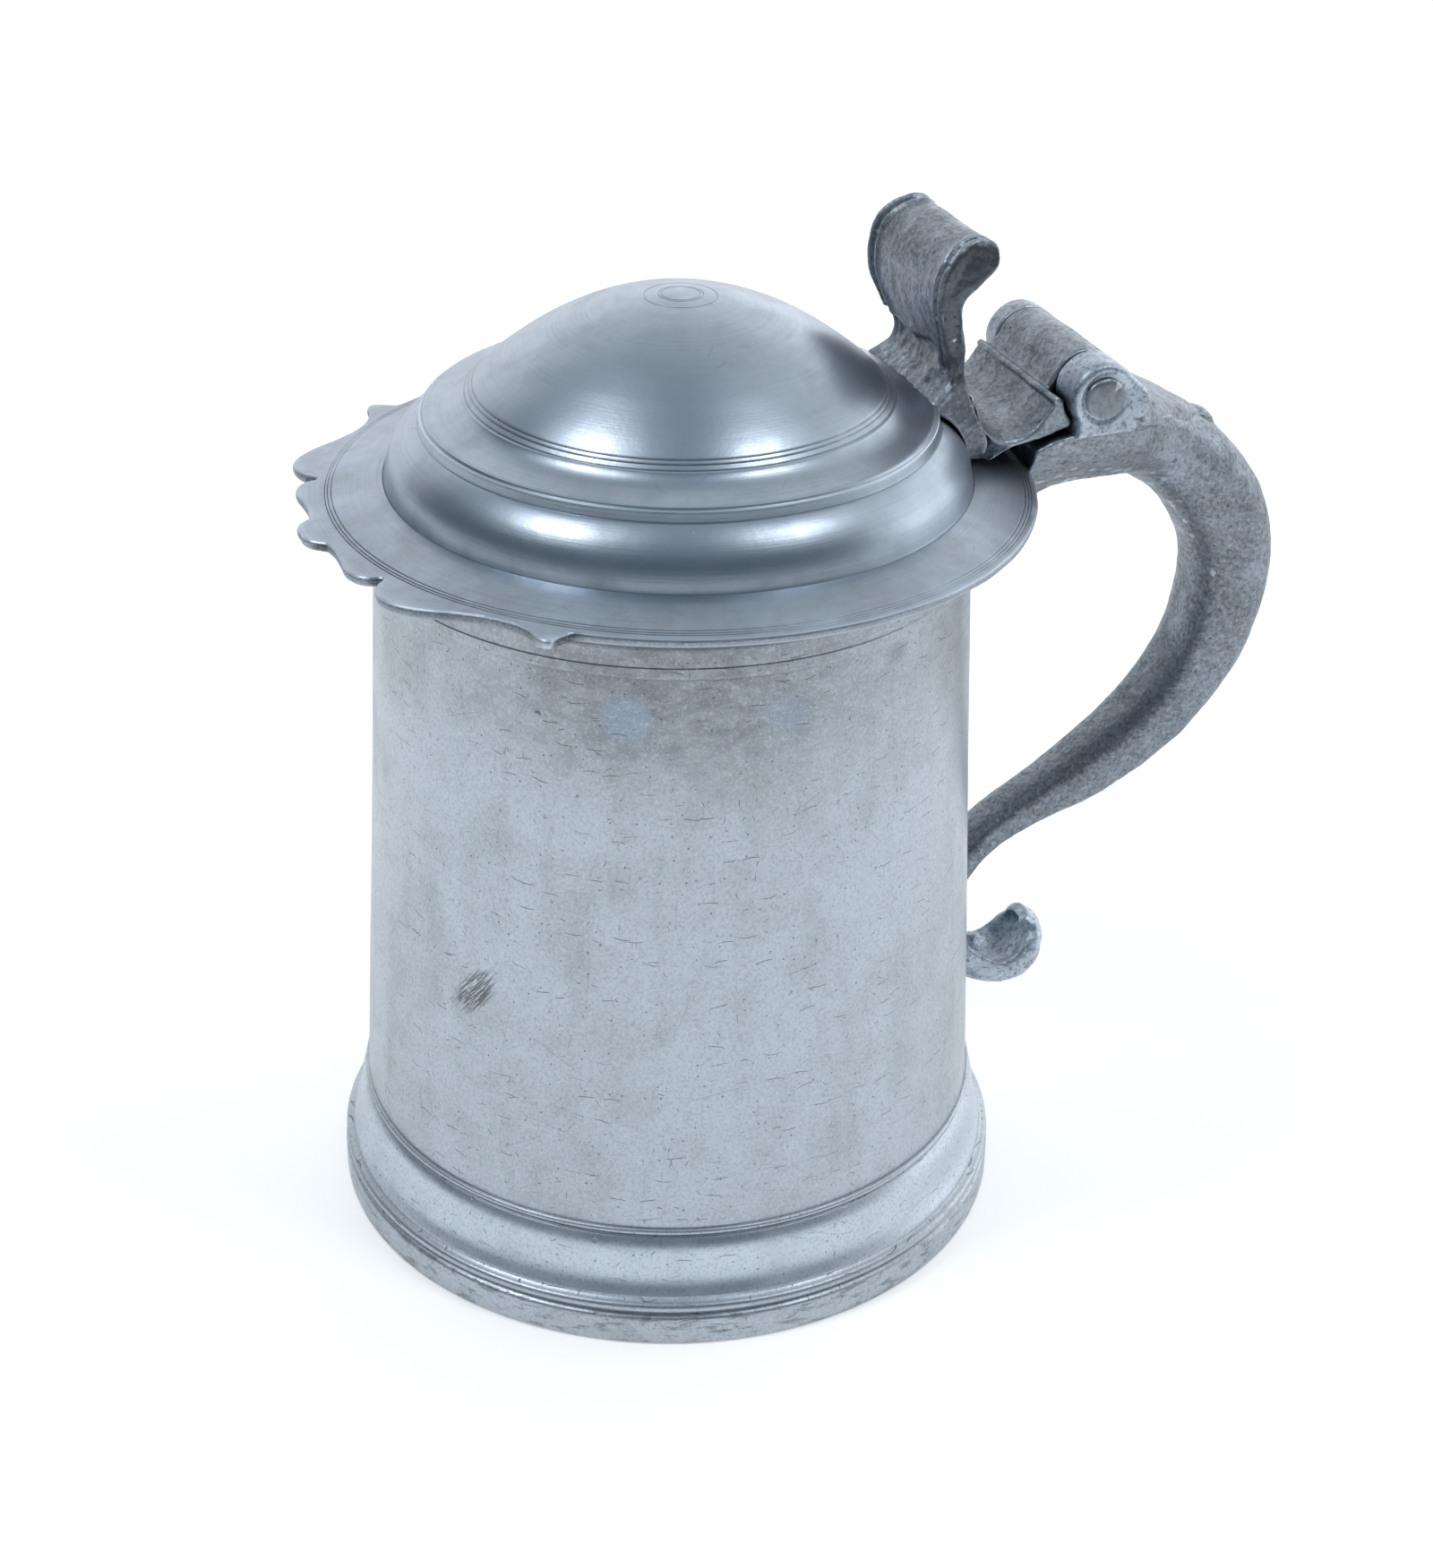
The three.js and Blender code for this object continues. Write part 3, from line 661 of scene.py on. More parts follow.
# ---- hinge
def bore(low_y, high_y):
    """The solid that the pin's bore takes out of a barrel."""
    return sideways("bore", arc(HINGE_X, HINGE_Z, BORE_RADIUS, 0, 350, 35), low_y, high_y, 0.01)


def lug_outline():
    """A barrel with a short tail behind it, on a foot that sits in the top of the seat."""
    foot_z = SEAT_TOP - 0.9
    barrel = arc(HINGE_X, HINGE_Z, BARREL_RADIUS, 218, 44, 40)
    tail = [(81.9, 152.2), (82.9, 150.6), (81.8, 147.6), (79.8, foot_z), (68.2, foot_z)]
    return rounded(resampled(barrel + tail, 1.2), 0.35, 2)


def build_lug(name, low_y, high_y, outer_side, seed):
    """One outer barrel, its outer rim rounded over and its end dished round the pin's head."""
    face = low_y if outer_side < 0 else high_y
    length = high_y - low_y
    depths = [(0, 1.15), (0.12, 0.7), (0.4, 0.35), (0.8, 0.1), (1.3, 0), (length - 0.25, 0),
              (length, 0.25)]
    lug = layered(name, lug_outline(), [(face - outer_side * into, depth) for into, depth in depths])
    cut_away(lug, bore(low_y - 1, high_y + 1))
    melted(lug, 0.26, 3)

    def dished(x, y, z):
        radius = math.hypot(x - HINGE_X, z - HINGE_Z)
        dish = LUG_DISH_DEPTH * ramp(radius, LUG_DISH_RADIUS, LUG_DISH_RADIUS - 0.7)
        return x, y - outer_side * dish if abs(y - face) < 0.8 else y, z

    return wobble(moved(lug, dished), 5, 0.12, seed, 2)


def build_pin():
    """The pin with its two heads hammered over; the heads are not quite round."""
    end = HINGE_HALF_WIDTH - 0.1
    head = [(3.72, -0.15), (3.76, 0.1), (3.6, 0.42), (3.25, 0.62), (2.6, 0.72), (1.4, 0.78), (0, 0.8)]
    profile = [(r, end + d) for r, d in head]
    shaft = [(PIN_RADIUS, -end + 0.1), (PIN_RADIUS, end - 0.1)]
    profile = [(r, -y) for r, y in profile[::-1]] + shaft + profile
    points = []
    angles = all_round(64)
    for angle in angles:
        oval = 1 + 0.035 * math.cos(2 * angle + 0.6) + 0.02 * math.cos(5 * angle)
        for r, y in profile:
            reach = r * oval if r > PIN_RADIUS + 0.1 else r
            points.append((HINGE_X + reach * math.cos(angle), y, HINGE_Z + reach * math.sin(angle)))
    rivet = make_object("hinge_rivet", points, quads(len(angles), len(profile), True, False))
    return wobble(rivet, 2.5, 0.1, 12)


# Half width of the arm at its lid end, against height.
ARM_END_WIDTH = [(141, 13.4), (143.5, 14.6), (146, 15), (149, 14.6), (151, 14.2), (155, 12.6)]


def arm_ring(outline, y):
    """The trough's outline at one distance across: drawn in at the ends, its hollow's rim let down."""
    bevel = max(0, abs(y) - ARM_FLAT_HALF_WIDTH) / 5.2
    ring = []
    for x, z in inset(outline, max(0, abs(y) - 15.5)):
        on_hollow = 51.0 < x < 65.0 and z > 145.4
        fade = min(1, (65.0 - x) / 4)
        limit = value_at(ARM_END_WIDTH, z) if x < 52.5 else 16.0
        low_rim = bevel**1.3 * fade if on_hollow else 0.0
        ring.append((x, max(-limit, min(limit, y)), z - low_rim))
    return ring


def build_arm():
    """The trough from the thumbpiece's back to the ridge before the barrel, and the barrel itself."""
    under_barrel = arc(HINGE_X, HINGE_Z, BARREL_ROOM_RADIUS, 184, 221, 8)
    hollow = smooth_line([(50.2, 153.4), (51.2, 149.4), (52.9, 147.3), (55.2, 146.2), (57.8, 146.1),
                          (60.4, 147), (63, 149), (65.3, 151.7)], 0.5)
    low = [(68.1, 146.4), (62, 144.7), (57, 143.9), (52.3, 141.6), (47, 142.2), (46.4, 148.4)]
    outline = resampled([*hollow, *under_barrel, *low], 0.6)
    far_half = (ARM_FLAT_HALF_WIDTH, 12, 13.6, 15, 15.6, 15.8)
    plate = loft("plate", [arm_ring(outline, y) for y in [-y for y in far_half[::-1]] + [*far_half]])
    ridge = sideways("ridge", arc(65.2, 151.4, 0.75, 0, 330, 11), -15.7, 15.7, 0.3)
    neck_low = KNUCKLE_LOW_Y + SEAM_GAP
    neck_high = KNUCKLE_HIGH_Y - SEAM_GAP / 2
    neck_side = resampled([(65.4, 151.2), (66.6, 153), (68.6, 155.6), (73, 157.4), (73, 146.6),
                           (68, 146.4), (65.6, 147.4)], 0.6)
    neck = sideways("neck", neck_side, neck_low, neck_high, 0.15)
    barrel_side = arc(HINGE_X, HINGE_Z, BARREL_RADIUS, 0, 356, 89)
    barrel = sideways("barrel", barrel_side, neck_low, neck_high, 0.15)
    arm = joined("lid_trough", [plate, neck, barrel, ridge])
    melted(arm, 0.3, 3)
    cut_away(arm, bore(-20, 20))
    wobble(arm, 6, 0.15, 13, 2)
    wobble(arm, 1.4, 0.05, 14)
    return moved(arm, above_lid_middle)


# ---- thumbpiece
# Side outline of the thumbpiece, up its front and down its back, and its half width against height.
THUMB_FRONT = [
    (46, 145.4), (44.4, 147.6), (42.6, 149.8), (42.2, 152.6), (43.2, 155), (44.6, 157), (45.3, 159.2),
    (44.8, 161.8), (43.6, 165), (42.5, 168.6), (42.3, 172.6), (43.2, 176.4), (45.2, 179.2), (47.9, 180.6),
    (50.6, 180.9), (52.4, 180.1), (53, 178.4),
]
THUMB_BACK = [(53, 178.4), (52.1, 176.4), (49.4, 174), (47.1, 172.2), (46.3, 170.2), (46.8, 166.6),
              (48.1, 162.2), (48.7, 157.6), (49.4, 153.2), (50.8, 149.4), (52.2, 145.6), (51.8, 143.4)]
THUMB_WIDTH = [(145, 15.9), (148, 15.7), (151, 14.9), (155, 13.1), (158.5, 12.5), (163, 13.9), (168, 15.3),
               (177.5, 15.4), (180, 14.6), (182, 13.4)]


# Height of the ragged step across the lower front, against the distance across.
LEAF_EDGE = [(-15, 162.5), (-11.5, 159.2), (-9.5, 158.2), (-8.2, 160.6), (-6, 161.2), (-2, 160.4),
             (3, 159.4), (8, 160.2), (12.5, 161.5)]


def hump(value, middle, width):
    """1 in the middle, falling off smoothly on both sides."""
    return math.exp(-((value - middle) / width) ** 2)


def thumb_relief(y, z, wide):
    """How far the front stands proud: a double rib along each edge, and the leaf step with its bump."""
    from_edge = wide - abs(y)
    ribs = 0.75 * hump(from_edge, 0.8, 0.7) + 0.65 * hump(from_edge, 3.2, 0.5)
    groove = -0.6 * hump(from_edge, 2.1, 0.5)
    above_leaf = 1 / (1 + math.exp(-(z - value_at(LEAF_EDGE, y)) / 0.16))
    step = -1.3 * (1 - above_leaf) * ramp(z, 153, 156.5)
    bump = 1.3 * hump(y, -7.4, 2.2) * hump(z, 157.2, 1.9)
    heel = 1.5 * max(0, (154.5 - z) / 5) ** 1.5
    coarse = noise.noise(Vector((y * 0.4, z * 0.3, 3)))
    fine = noise.noise(Vector((y * 0.9, z * 0.7, 9)))
    rough = 0.7 * (coarse + 0.45 * fine) * (1 - ramp(z, 155, 159)) * min(1, from_edge / 2.2)
    return (ribs + groove) * ramp(z, 157, 159.5) + step + bump + heel + rough


def build_thumbpiece():
    """The curled plate, its front raised by the relief and its two side rims eased off."""
    front = smooth_line(THUMB_FRONT, 0.35)
    outline = front + smooth_line(THUMB_BACK, 0.6)[1:]
    last_front = len(front) - 1
    p = np.array(outline)
    along = np.roll(p, -1, 0) - np.roll(p, 1, 0)
    along /= np.linalg.norm(along, axis=1)[:, None]
    outward = np.stack([-along[:, 1], along[:, 0]], 1)
    rings = []
    for share in np.linspace(-1, 1, 91):
        eased = -0.35 * max(0, (abs(share) - 0.965) / 0.035) ** 2
        ring = []
        for i, (x, z) in enumerate(outline):
            wide = value_at(THUMB_WIDTH, z)
            proud = 0.0
            if i <= last_front:
                proud = thumb_relief(share * wide, z, wide) * min(1, (last_front - i) / 14)
            out_x, out_z = outward[i] * (proud + eased)
            ring.append((x + out_x, share * wide, z + out_z))
        rings.append(ring)
    thumb = loft("lid_thumbpiece", rings)
    melted(thumb, 0.27, 2)
    wobble(thumb, 7, 0.25, 15, 2)
    wobble(thumb, 1.1, 0.07, 16, 2)
    return moved(thumb, above_lid_middle)


# ---- materials
class Graph:
    """Short names for the shader nodes that a material here is made of."""

    def __init__(self, material):
        material.use_nodes = True
        self.tree = material.node_tree
        self.tree.nodes.clear()

    def node(self, kind, inputs, **settings):
        node = self.tree.nodes.new("ShaderNode" + kind)
        for key, value in settings.items():
            setattr(node, key, value)
        for key, value in inputs.items():
            if isinstance(value, bpy.types.NodeSocket):
                self.tree.links.new(value, node.inputs[key])
            else:
                node.inputs[key].default_value = value
        return node

    def out(self, kind, inputs, **settings):
        """A new node's first output."""
        return self.node(kind, inputs, **settings).outputs[0]

    def math(self, operation, a, b=0, clamp=False):
        return self.out("Math", {0: a, 1: b}, operation=operation, use_clamp=clamp)

    def total(self, *values):
        return reduce(partial(self.math, "ADD"), values)

    def times(self, *values):
        return reduce(partial(self.math, "MULTIPLY"), values)

    def weighted(self, *pairs):
        """The sum of values, each times its weight."""
        return self.total(*[self.times(value, weight) for value, weight in pairs])

    def band(self, value, start, end, low=0, high=1):
        """Goes smoothly from low to high as the value goes from start to end."""
        inputs = {"Value": value, "From Min": start, "From Max": end, "To Min": low, "To Max": high}
        return self.out("MapRange", inputs, interpolation_type="SMOOTHSTEP")

    def mix(self, factor, a, b):
        inputs = {0: factor, 6: a, 7: b}
        return self.node("Mix", inputs, data_type="RGBA", clamp_factor=True).outputs[2]

    def tinted(self, colour, *layers):
        """The colour under a row of tints; each is a mask, its weight and a colour."""
        for mask, weight, tint in layers:
            colour = self.mix(self.times(mask, weight), colour, tint)
        return colour

    def stretch(self, at, x, y, z, turn=0):
        inputs = {"Vector": at, "Scale": (x, y, z), "Rotation": (0, 0, math.radians(turn))}
        return self.out("Mapping", inputs)

    def noise(self, at, size_mm, detail=2, roughness=0.5, distortion=0):
        inputs = {"Vector": at, "Scale": 1 / size_mm, "Detail": detail, "Roughness": roughness,
                  "Distortion": distortion}
        return self.out("TexNoise", inputs)

    def coordinates(self, axis_x=0):
        """Millimetres from an upright axis, axis_x beyond the drum's: the point, and its x, y and z."""
        raw = self.node("TexCoord", {}).outputs["Object"]
        inputs = {"Vector": raw, "Location": (-DRUM_AXIS_X - axis_x, 0, 0), "Scale": [1 / MM] * 3}
        at = self.out("Mapping", inputs)
        return at, *self.node("SeparateXYZ", {"Vector": at}).outputs

    def unrolled(self, x, y, z):
        """The drum's surface laid flat: (arc length, height), and the arc length alone."""
        behind = self.math("ARCTAN2", self.times(y, -1), self.times(x, -1))
        arc_length = self.times(self.math("SUBTRACT", behind, math.pi), WRAP_RADIUS)
        return self.out("CombineXYZ", {"X": arc_length, "Y": z}), arc_length

    def cells(self, at, cell_mm, flat):
        """A Voronoi pattern's node and three random numbers for each of its cells."""
        node = self.node("TexVoronoi", {"Vector": at, "Scale": 1 / cell_mm},
                         voronoi_dimensions="2D" if flat else "3D")
        return node, self.node("SeparateColor", {"Color": node.outputs["Color"]}).outputs

    def specks(self, at, cell_mm, size_low, size_high, share, flat=False):
        """Round marks, one in some cells of the pattern."""
        cells, dice = self.cells(at, cell_mm, flat)
        away = self.times(cells.outputs["Distance"], cell_mm)
        sizes = {"Value": dice[0], "To Min": size_low, "To Max": size_high}
        size = self.out("MapRange", sizes)
        mark = self.band(self.math("DIVIDE", away, size), 1, 0.45)
        return self.times(mark, self.math("LESS_THAN", dice[1], share))

    def scratches(self, at, cell_mm, length, width, share, turn_share=1, turn_from=0):
        """Slightly bowed marks on a flat or unrolled surface, one in some cells of the pattern."""
        cells, dice = self.cells(at, cell_mm, True)
        away = self.out("VectorMath", {0: at, 1: cells.outputs["Position"]}, operation="SUBTRACT")
        angle = self.math("ADD", self.times(dice[0], math.pi * turn_share), math.radians(turn_from))
        inputs = {"Vector": away, "Angle": angle}
        turned_away = self.out("VectorRotate", inputs, rotation_type="Z_AXIS")
        x, y, _ = self.node("SeparateXYZ", {"Vector": turned_away}).outputs
        along = self.band(self.math("ABSOLUTE", x), length, length * 0.5)
        bow = self.times(x, x, self.math("SUBTRACT", dice[2], 0.5), 0.5 / length)
        across = self.band(self.math("ABSOLUTE", self.math("ADD", y, bow)), width, width * 0.3)
        return self.times(along, across, self.math("LESS_THAN", dice[1], share))

    def spot(self, around, degrees, height_mm, wide, tall, turn=0, core=0.2):
        """A soft oval mark at one place on the drum, solid out to the core's share of its size."""
        inputs = {"Vector": around, "Location": (math.radians(degrees) * WRAP_RADIUS, height_mm, 0),
                  "Rotation": (0, 0, math.radians(turn)), "Scale": (wide, tall, 1)}
        local = self.out("Mapping", inputs, vector_type="TEXTURE")
        length = self.node("VectorMath", {0: local}, operation="LENGTH").outputs["Value"]
        return self.band(length, 1, core)

    def crevice_shade(self, reach_mm):
        """Ambient occlusion for painted shade and grime in corners: 0 in the open, 1 deep in a corner."""
        inputs = {"Distance": reach_mm * MM}
        shade = self.node("AmbientOcclusion", inputs, samples=6).outputs["AO"]
        return self.math("SUBTRACT", 1, shade, clamp=True)

    def edges(self, low, high):
        """1 on worn outer edges, from how sharply the mesh bends there."""
        bend = self.node("NewGeometry", {}).outputs["Pointiness"]
        return self.band(bend, low, high)

    def finish(self, colour, rough, height_mm):
        """Bare metal with this colour, this roughness and this relief in millimetres."""
        bump = self.out("Bump", {"Height": height_mm, "Distance": MM, "Strength": 1.0})
        inputs = {"Base Color": colour, "Roughness": rough, "Metallic": 1, "Normal": bump}
        self.node("OutputMaterial", {"Surface": self.out("BsdfPrincipled", inputs)})


def grey(level, warm=0):
    """A pewter colour: a cool grey, or a browner one as warm grows."""
    return (level * (0.90 + warm), level * (1.0 + 0.3 * warm), level * (1.11 - warm), 1)


# The colour of the painted reflection in the two smoother spots on the drum.
REFLECTION_BLUE = (0.25, 0.31, 0.385, 1)


def turned_pewter():
    """The drum and foot: light rubbed metal under a mottled patina, with grain, scratches and stains."""
    material = bpy.data.materials.new("turned_pewter")
    g = Graph(material)
    at, x, y, height = g.coordinates()
    around, arc_length = g.unrolled(x, y, height)
    cloud = g.noise(at, 24, 4, 0.6, 0.4)
    patch = g.noise(g.stretch(around, 1, 0.7, 1), 7, 4, 0.65, 0.3)
    rub = g.noise(g.stretch(around, 1, 0.12, 1), 5, 3, 0.6)
    grain = g.noise(at, 0.55, 2, 0.7)
    fine = g.noise(g.stretch(around, 1, 3, 1), 0.5, 1, 0.5)
    warp = g.noise(g.stretch(around, 3, 1, 1), 0.7, 2, 0.6)
    patina = g.weighted((g.band(cloud, 0.35, 0.68), 0.5), (g.band(patch, 0.38, 0.7), 0.5),
                        (g.band(rub, 0.4, 0.7), 0.25))
    patina = g.math("SUBTRACT", patina, 0.25, clamp=True)

    # Scratches every way, nearly level ones, a few long ones, pits and shallow dents.
    short = g.scratches(around, 2.9, 0.7, 0.09, 0.22)
    level = g.scratches(around, 3.9, 1.9, 0.09, 0.34, 0.14, -12)
    long = g.scratches(around, 16, 7.5, 0.07, 0.55)
    lines = g.times(g.total(short, level), g.band(g.noise(at, 11, 2, 0.5), 0.36, 0.58))
    pits = g.specks(around, 2.1, 0.07, 0.24, 0.3, True)
    dents = g.specks(around, 9, 0.2, 0.6, 0.3, True)

    # Marks of this one tankard: dark diagonal gouges, two polished spots with a painted bluish reflection,
    # a stain and two nicks.
    strokes = g.noise(g.stretch(g.stretch(around, 1, 1, 1, -50), 0.12, 1.5, 1), 0.6, 2, 0.7)
    gouges = g.times(g.spot(around, -147.6, 62.5, 7.6, 3.6, 50, 0.5), g.band(strokes, 0.45, 0.55))
    # Two smoother spots that also carry a painted bluish reflection.
    left_polish_reflection = g.spot(around, -118.2, 119.6, 4.9, 4.2, 0, 0.7)
    right_polish_reflection = g.spot(around, -89.3, 119.2, 4.6, 3.6, 0, 0.7)
    polish_and_reflection = g.math("MAXIMUM", left_polish_reflection, g.times(right_polish_reflection, 0.5))
    stain = g.spot(around, -65.6, 124.6, 4.2, 3)
    nicks = g.math("MAXIMUM", g.spot(around, -134.8, 118.8, 1.3, 0.7, -20),
                   g.spot(around, -141.2, 110.1, 1.5, 0.6, -60))
    nicks = g.times(nicks, g.band(grain, 0.4, 0.6))

    # Zones by height: tarnish with a painted dark reflection under the band, grime on the band, a painted
    # shadow under the rim, painted light on the skirt, a worn foot.
    blotch = g.band(g.noise(g.stretch(around, 0.8, 1.6, 1), 5, 6, 0.75, 0.3), 0.34, 0.64, 0.5, 1)
    front = g.times(g.band(arc_length, -152, -112), g.band(arc_length, -62, -100, 0.3, 1))
    # Partly tarnish, partly a painted dark reflection: the drum is darkened below the band, most on the
    # front.
    high = g.times(g.band(height, 98, 123), blotch, g.total(g.times(front, 0.75), 0.25))
    band_dirt = g.times(g.band(height, 128.4, 129.4), g.band(g.noise(at, 1.6, 4, 0.7, 0.5), 0.4, 0.6))
    # Painted shadow: a dark band high on the drum, where the lid's flange shades the rim.
    painted_rim_shadow = g.band(height, 132.2, 133)
    # Painted light: the hollow skirt between the two beads is painted lighter than the rest of the drum.
    skirt = g.times(g.band(height, 8.6, 10.2), g.band(height, 20.4, 18.8))
    worn = g.band(g.noise(g.stretch(around, 0.35, 1, 1), 1.6, 3, 0.7), 0.5, 0.66)
    foot_wear = g.times(g.band(height, 6.4, 5.4), worn)
    marks = g.weighted((lines, 0.85), (pits, 0.7), (long, 0.3), (gouges, 0.85), (nicks, 0.85),
                       (stain, 0.28), (foot_wear, 0.5), (dents, 0.12))

    colour = g.mix(patina, grey(0.495, 0.012), grey(0.435, 0.03))
    colour = g.tinted(
        colour, (skirt, 0.6, grey(0.72, 0.01)), (high, 1, grey(0.205, 0.025)), (polish_and_reflection, 0.7, REFLECTION_BLUE),
        (g.band(grain, 0.48, 0.66), 0.36, grey(0.26, 0.04)), (g.band(grain, 0.46, 0.32), 0.3, grey(0.62)),
        (g.band(fine, 0.5, 0.35), 0.12, grey(0.62)), (g.band(warp, 0.5, 0.35), 0.1, grey(0.6)),
        (marks, 1, grey(0.13, 0.05)), (band_dirt, 0.25, grey(0.2, 0.03)),
        # The painted shadow under the rim, then painted shade with grime in corners from ambient
        # occlusion.
        (painted_rim_shadow, 0.65, grey(0.07, 0.02)), (g.band(g.crevice_shade(1.5), 0.35, 0.95), 0.85, grey(0.085)))
    rough = g.total(g.weighted((patina, 0.13), (grain, 0.10), (marks, 0.12), (polish_and_reflection, -0.08)), 0.335)
    relief = g.weighted((grain, 0.010), (fine, 0.006), (patch, 0.05), (lines, -0.02), (long, -0.012),
                        (pits, -0.04), (gouges, -0.05), (dents, -0.05), (foot_wear, -0.06))
    g.finish(colour, rough, relief)
    return material


def lid_pewter():
    """The lid: smoother and darker, with faint turning lines and cloudy tarnish."""
    material = bpy.data.materials.new("lid_pewter")
    g = Graph(material)
    at, x, y, height = g.coordinates(LID_AXIS_X)
    radius = g.math("SQRT", g.total(g.times(x, x), g.times(y, y)))
    cloud = g.noise(at, 19, 4, 0.62, 0.5)
    patch = g.noise(at, 5.5, 4, 0.65, 0.4)
    grain = g.noise(at, 0.5, 2, 0.7)
    patina = g.weighted((g.band(cloud, 0.36, 0.66), 0.6), (g.band(patch, 0.4, 0.7), 0.4))
    flange = g.band(height, 142.5, 141)

    # Turning lines: noise that changes quickly outwards and hardly at all round the axis.
    from_axis = g.math("SUBTRACT", radius, g.times(height, 0.8))
    outward = g.out("CombineXYZ", {"Z": from_axis})
    rings = g.out("VectorMath", {0: g.stretch(at, 0.012, 0.012, 0), 1: outward}, operation="ADD")
    turning = g.noise(rings, 0.34, 2, 0.6)

    lines = g.times(g.scratches(g.stretch(at, 1, 1, 0), 4.6, 1.8, 0.08, 0.45),
                    g.band(g.noise(at, 13, 2, 0.5), 0.45, 0.65))
    pits = g.specks(at, 2.6, 0.05, 0.17, 0.22)
    cut = 0.0
    for line in FLANGE_LINES + DOME_LINES + CROWN_LINES:
        off_line = g.math("ABSOLUTE", g.math("SUBTRACT", radius, line))
        cut = g.math("MAXIMUM", cut, g.band(off_line, 0.17, 0.03))
    cut = g.times(cut, g.band(patch, 0.3, 0.6, 0.5, 1))
    marks = g.weighted((lines, 0.4), (pits, 0.45), (cut, 0.55))
    rim_face = g.times(g.band(radius, 61.6, 62.2), g.band(height, 138.75, 138.5))
    tier = g.times(g.band(height, 149, 150), g.band(radius, 30, 34))
    edge = g.times(g.edges(0.515, 0.56), g.math("MAXIMUM", g.band(radius, 60.95, 61.15), tier))

    colour = g.mix(patina, grey(0.455, -0.035), grey(0.37, -0.025))
    colour = g.tinted(
        colour, (g.times(flange, g.band(patch, 0.4, 0.65)), 0.35, grey(0.36, 0.03)),
        (g.band(turning, 0.45, 0.7), 0.14, grey(0.25, -0.02)),
        (g.band(turning, 0.5, 0.3), 0.08, grey(0.6, -0.02)),
        (g.band(grain, 0.5, 0.8), 0.12, grey(0.2, 0.06)),
        (marks, 1, grey(0.11, -0.01)), (rim_face, g.band(grain, 0.35, 0.6, 0.7, 1), grey(0.09)),
        # Painted shade with grime in corners from ambient occlusion, then worn bright edges.
        (g.band(g.crevice_shade(2.4), 0.3, 0.95), 0.85, grey(0.07)), (edge, 0.6, grey(0.75)))
    rough = g.total(g.weighted((patina, 0.08), (grain, 0.07), (turning, 0.05), (flange, 0.05)), 0.27)
    relief = g.weighted((turning, 0.010), (grain, 0.005), (patch, 0.04), (lines, -0.004), (pits, -0.03),
                        (g.times(rim_face, grain), 0.1))
    g.finish(colour, rough, relief)
    return material


def cast_pewter(name, light, side_shade):
    """Rough castings, pitted, with rubbed high places. `light` lightens the bare metal; above 1 it paints
    light onto the lugs and the hook. `side_shade` sets the painted shade on the high side faces of the
    thumbpiece."""
    material = bpy.data.materials.new(name)
    g = Graph(material)
    at, _, _, height = g.coordinates()
    cloud = g.noise(at, 15, 4, 0.6, 0.5)
    patch = g.noise(at, 4.2, 4, 0.7, 0.5)
    grain = g.noise(at, 0.75, 3, 0.75)
    coarse = g.noise(at, 1.5, 3, 0.7, 0.6)
    file_marks = g.noise(g.stretch(at, 0.35, 2.2, 0.8, 25), 0.8, 2, 0.6)
    patina = g.weighted((g.band(cloud, 0.35, 0.66), 0.5), (g.band(patch, 0.36, 0.68), 0.5))
    pits = g.specks(at, 1.9, 0.12, 0.42, 0.33)
    holes = g.specks(at, 5.5, 0.3, 0.75, 0.16)
    edge = g.times(g.edges(0.515, 0.56), g.band(patch, 0.3, 0.55, 0.35, 1))
    rubbed = g.times(g.band(height, 128, 136), g.band(patch, 0.62, 0.36))
    normal = g.node("NewGeometry", {}).outputs["Normal"]
    _, across, _ = g.node("SeparateXYZ", {"Vector": normal}).outputs
    # Painted shade: faces turned across the tankard, high up on the thumbpiece, are darkened.
    sides = g.times(g.band(g.math("ABSOLUTE", across), 0.7, 0.93), g.band(height, 153, 158))

    colour = g.mix(patina, grey(0.335 * light, -0.02), grey(0.215 * light, 0.01))
    colour = g.tinted(
        colour, (g.band(height, 112, 70), 0.35, grey(0.2, -0.04)),
        (g.band(grain, 0.5, 0.66), 0.6, grey(0.09, 0.03)), (g.band(grain, 0.47, 0.36), 0.5, grey(0.45)),
        (rubbed, 0.22, grey(0.42, -0.02)), (g.band(coarse, 0.52, 0.7), 0.4, grey(0.11, 0.03)),
        (g.weighted((pits, 0.5), (holes, 0.6)), 1, grey(0.06, 0.03)),
        # Painted shade on the thumbpiece's high side faces.
        (sides, side_shade, grey(0.06, -0.02)),
        # Painted shade with grime in corners from ambient occlusion, then worn bright edges.
        (g.band(g.crevice_shade(2.8), 0.35, 1), 0.85, grey(0.04)), (edge, 0.7, grey(0.6)))
    rough = g.total(g.weighted((patina, 0.1), (grain, 0.16), (pits, 0.1), (edge, -0.1)), 0.34)
    relief = g.weighted((grain, 0.045), (coarse, 0.09), (patch, 0.12), (pits, -0.07), (holes, -0.14),
                        (file_marks, 0.02))
    g.finish(colour, rough, relief)
    return material


def pin_pewter():
    """The pin's hammered heads: a dull face inside a bright worn rim."""
    material = bpy.data.materials.new("pin_pewter")
    g = Graph(material)
    at = g.coordinates()[0]
    patch = g.noise(at, 1.6, 4, 0.7, 0.6)
    grain = g.noise(at, 0.4, 2, 0.7)
    colour = g.mix(g.band(patch, 0.35, 0.68), grey(0.27, 0.01), grey(0.18, 0.02))
    colour = g.tinted(colour, (g.band(grain, 0.5, 0.75), 0.4, grey(0.1, 0.03)),
                      # Painted shade with grime in corners from ambient occlusion.
                      (g.band(g.crevice_shade(1.5), 0.35, 0.95), 0.85, grey(0.06)),
                      (g.edges(0.52, 0.6), 0.8, grey(0.7)))
    g.finish(colour, g.total(g.times(grain, 0.14), 0.36), g.weighted((grain, 0.03), (patch, 0.12)))
    return material


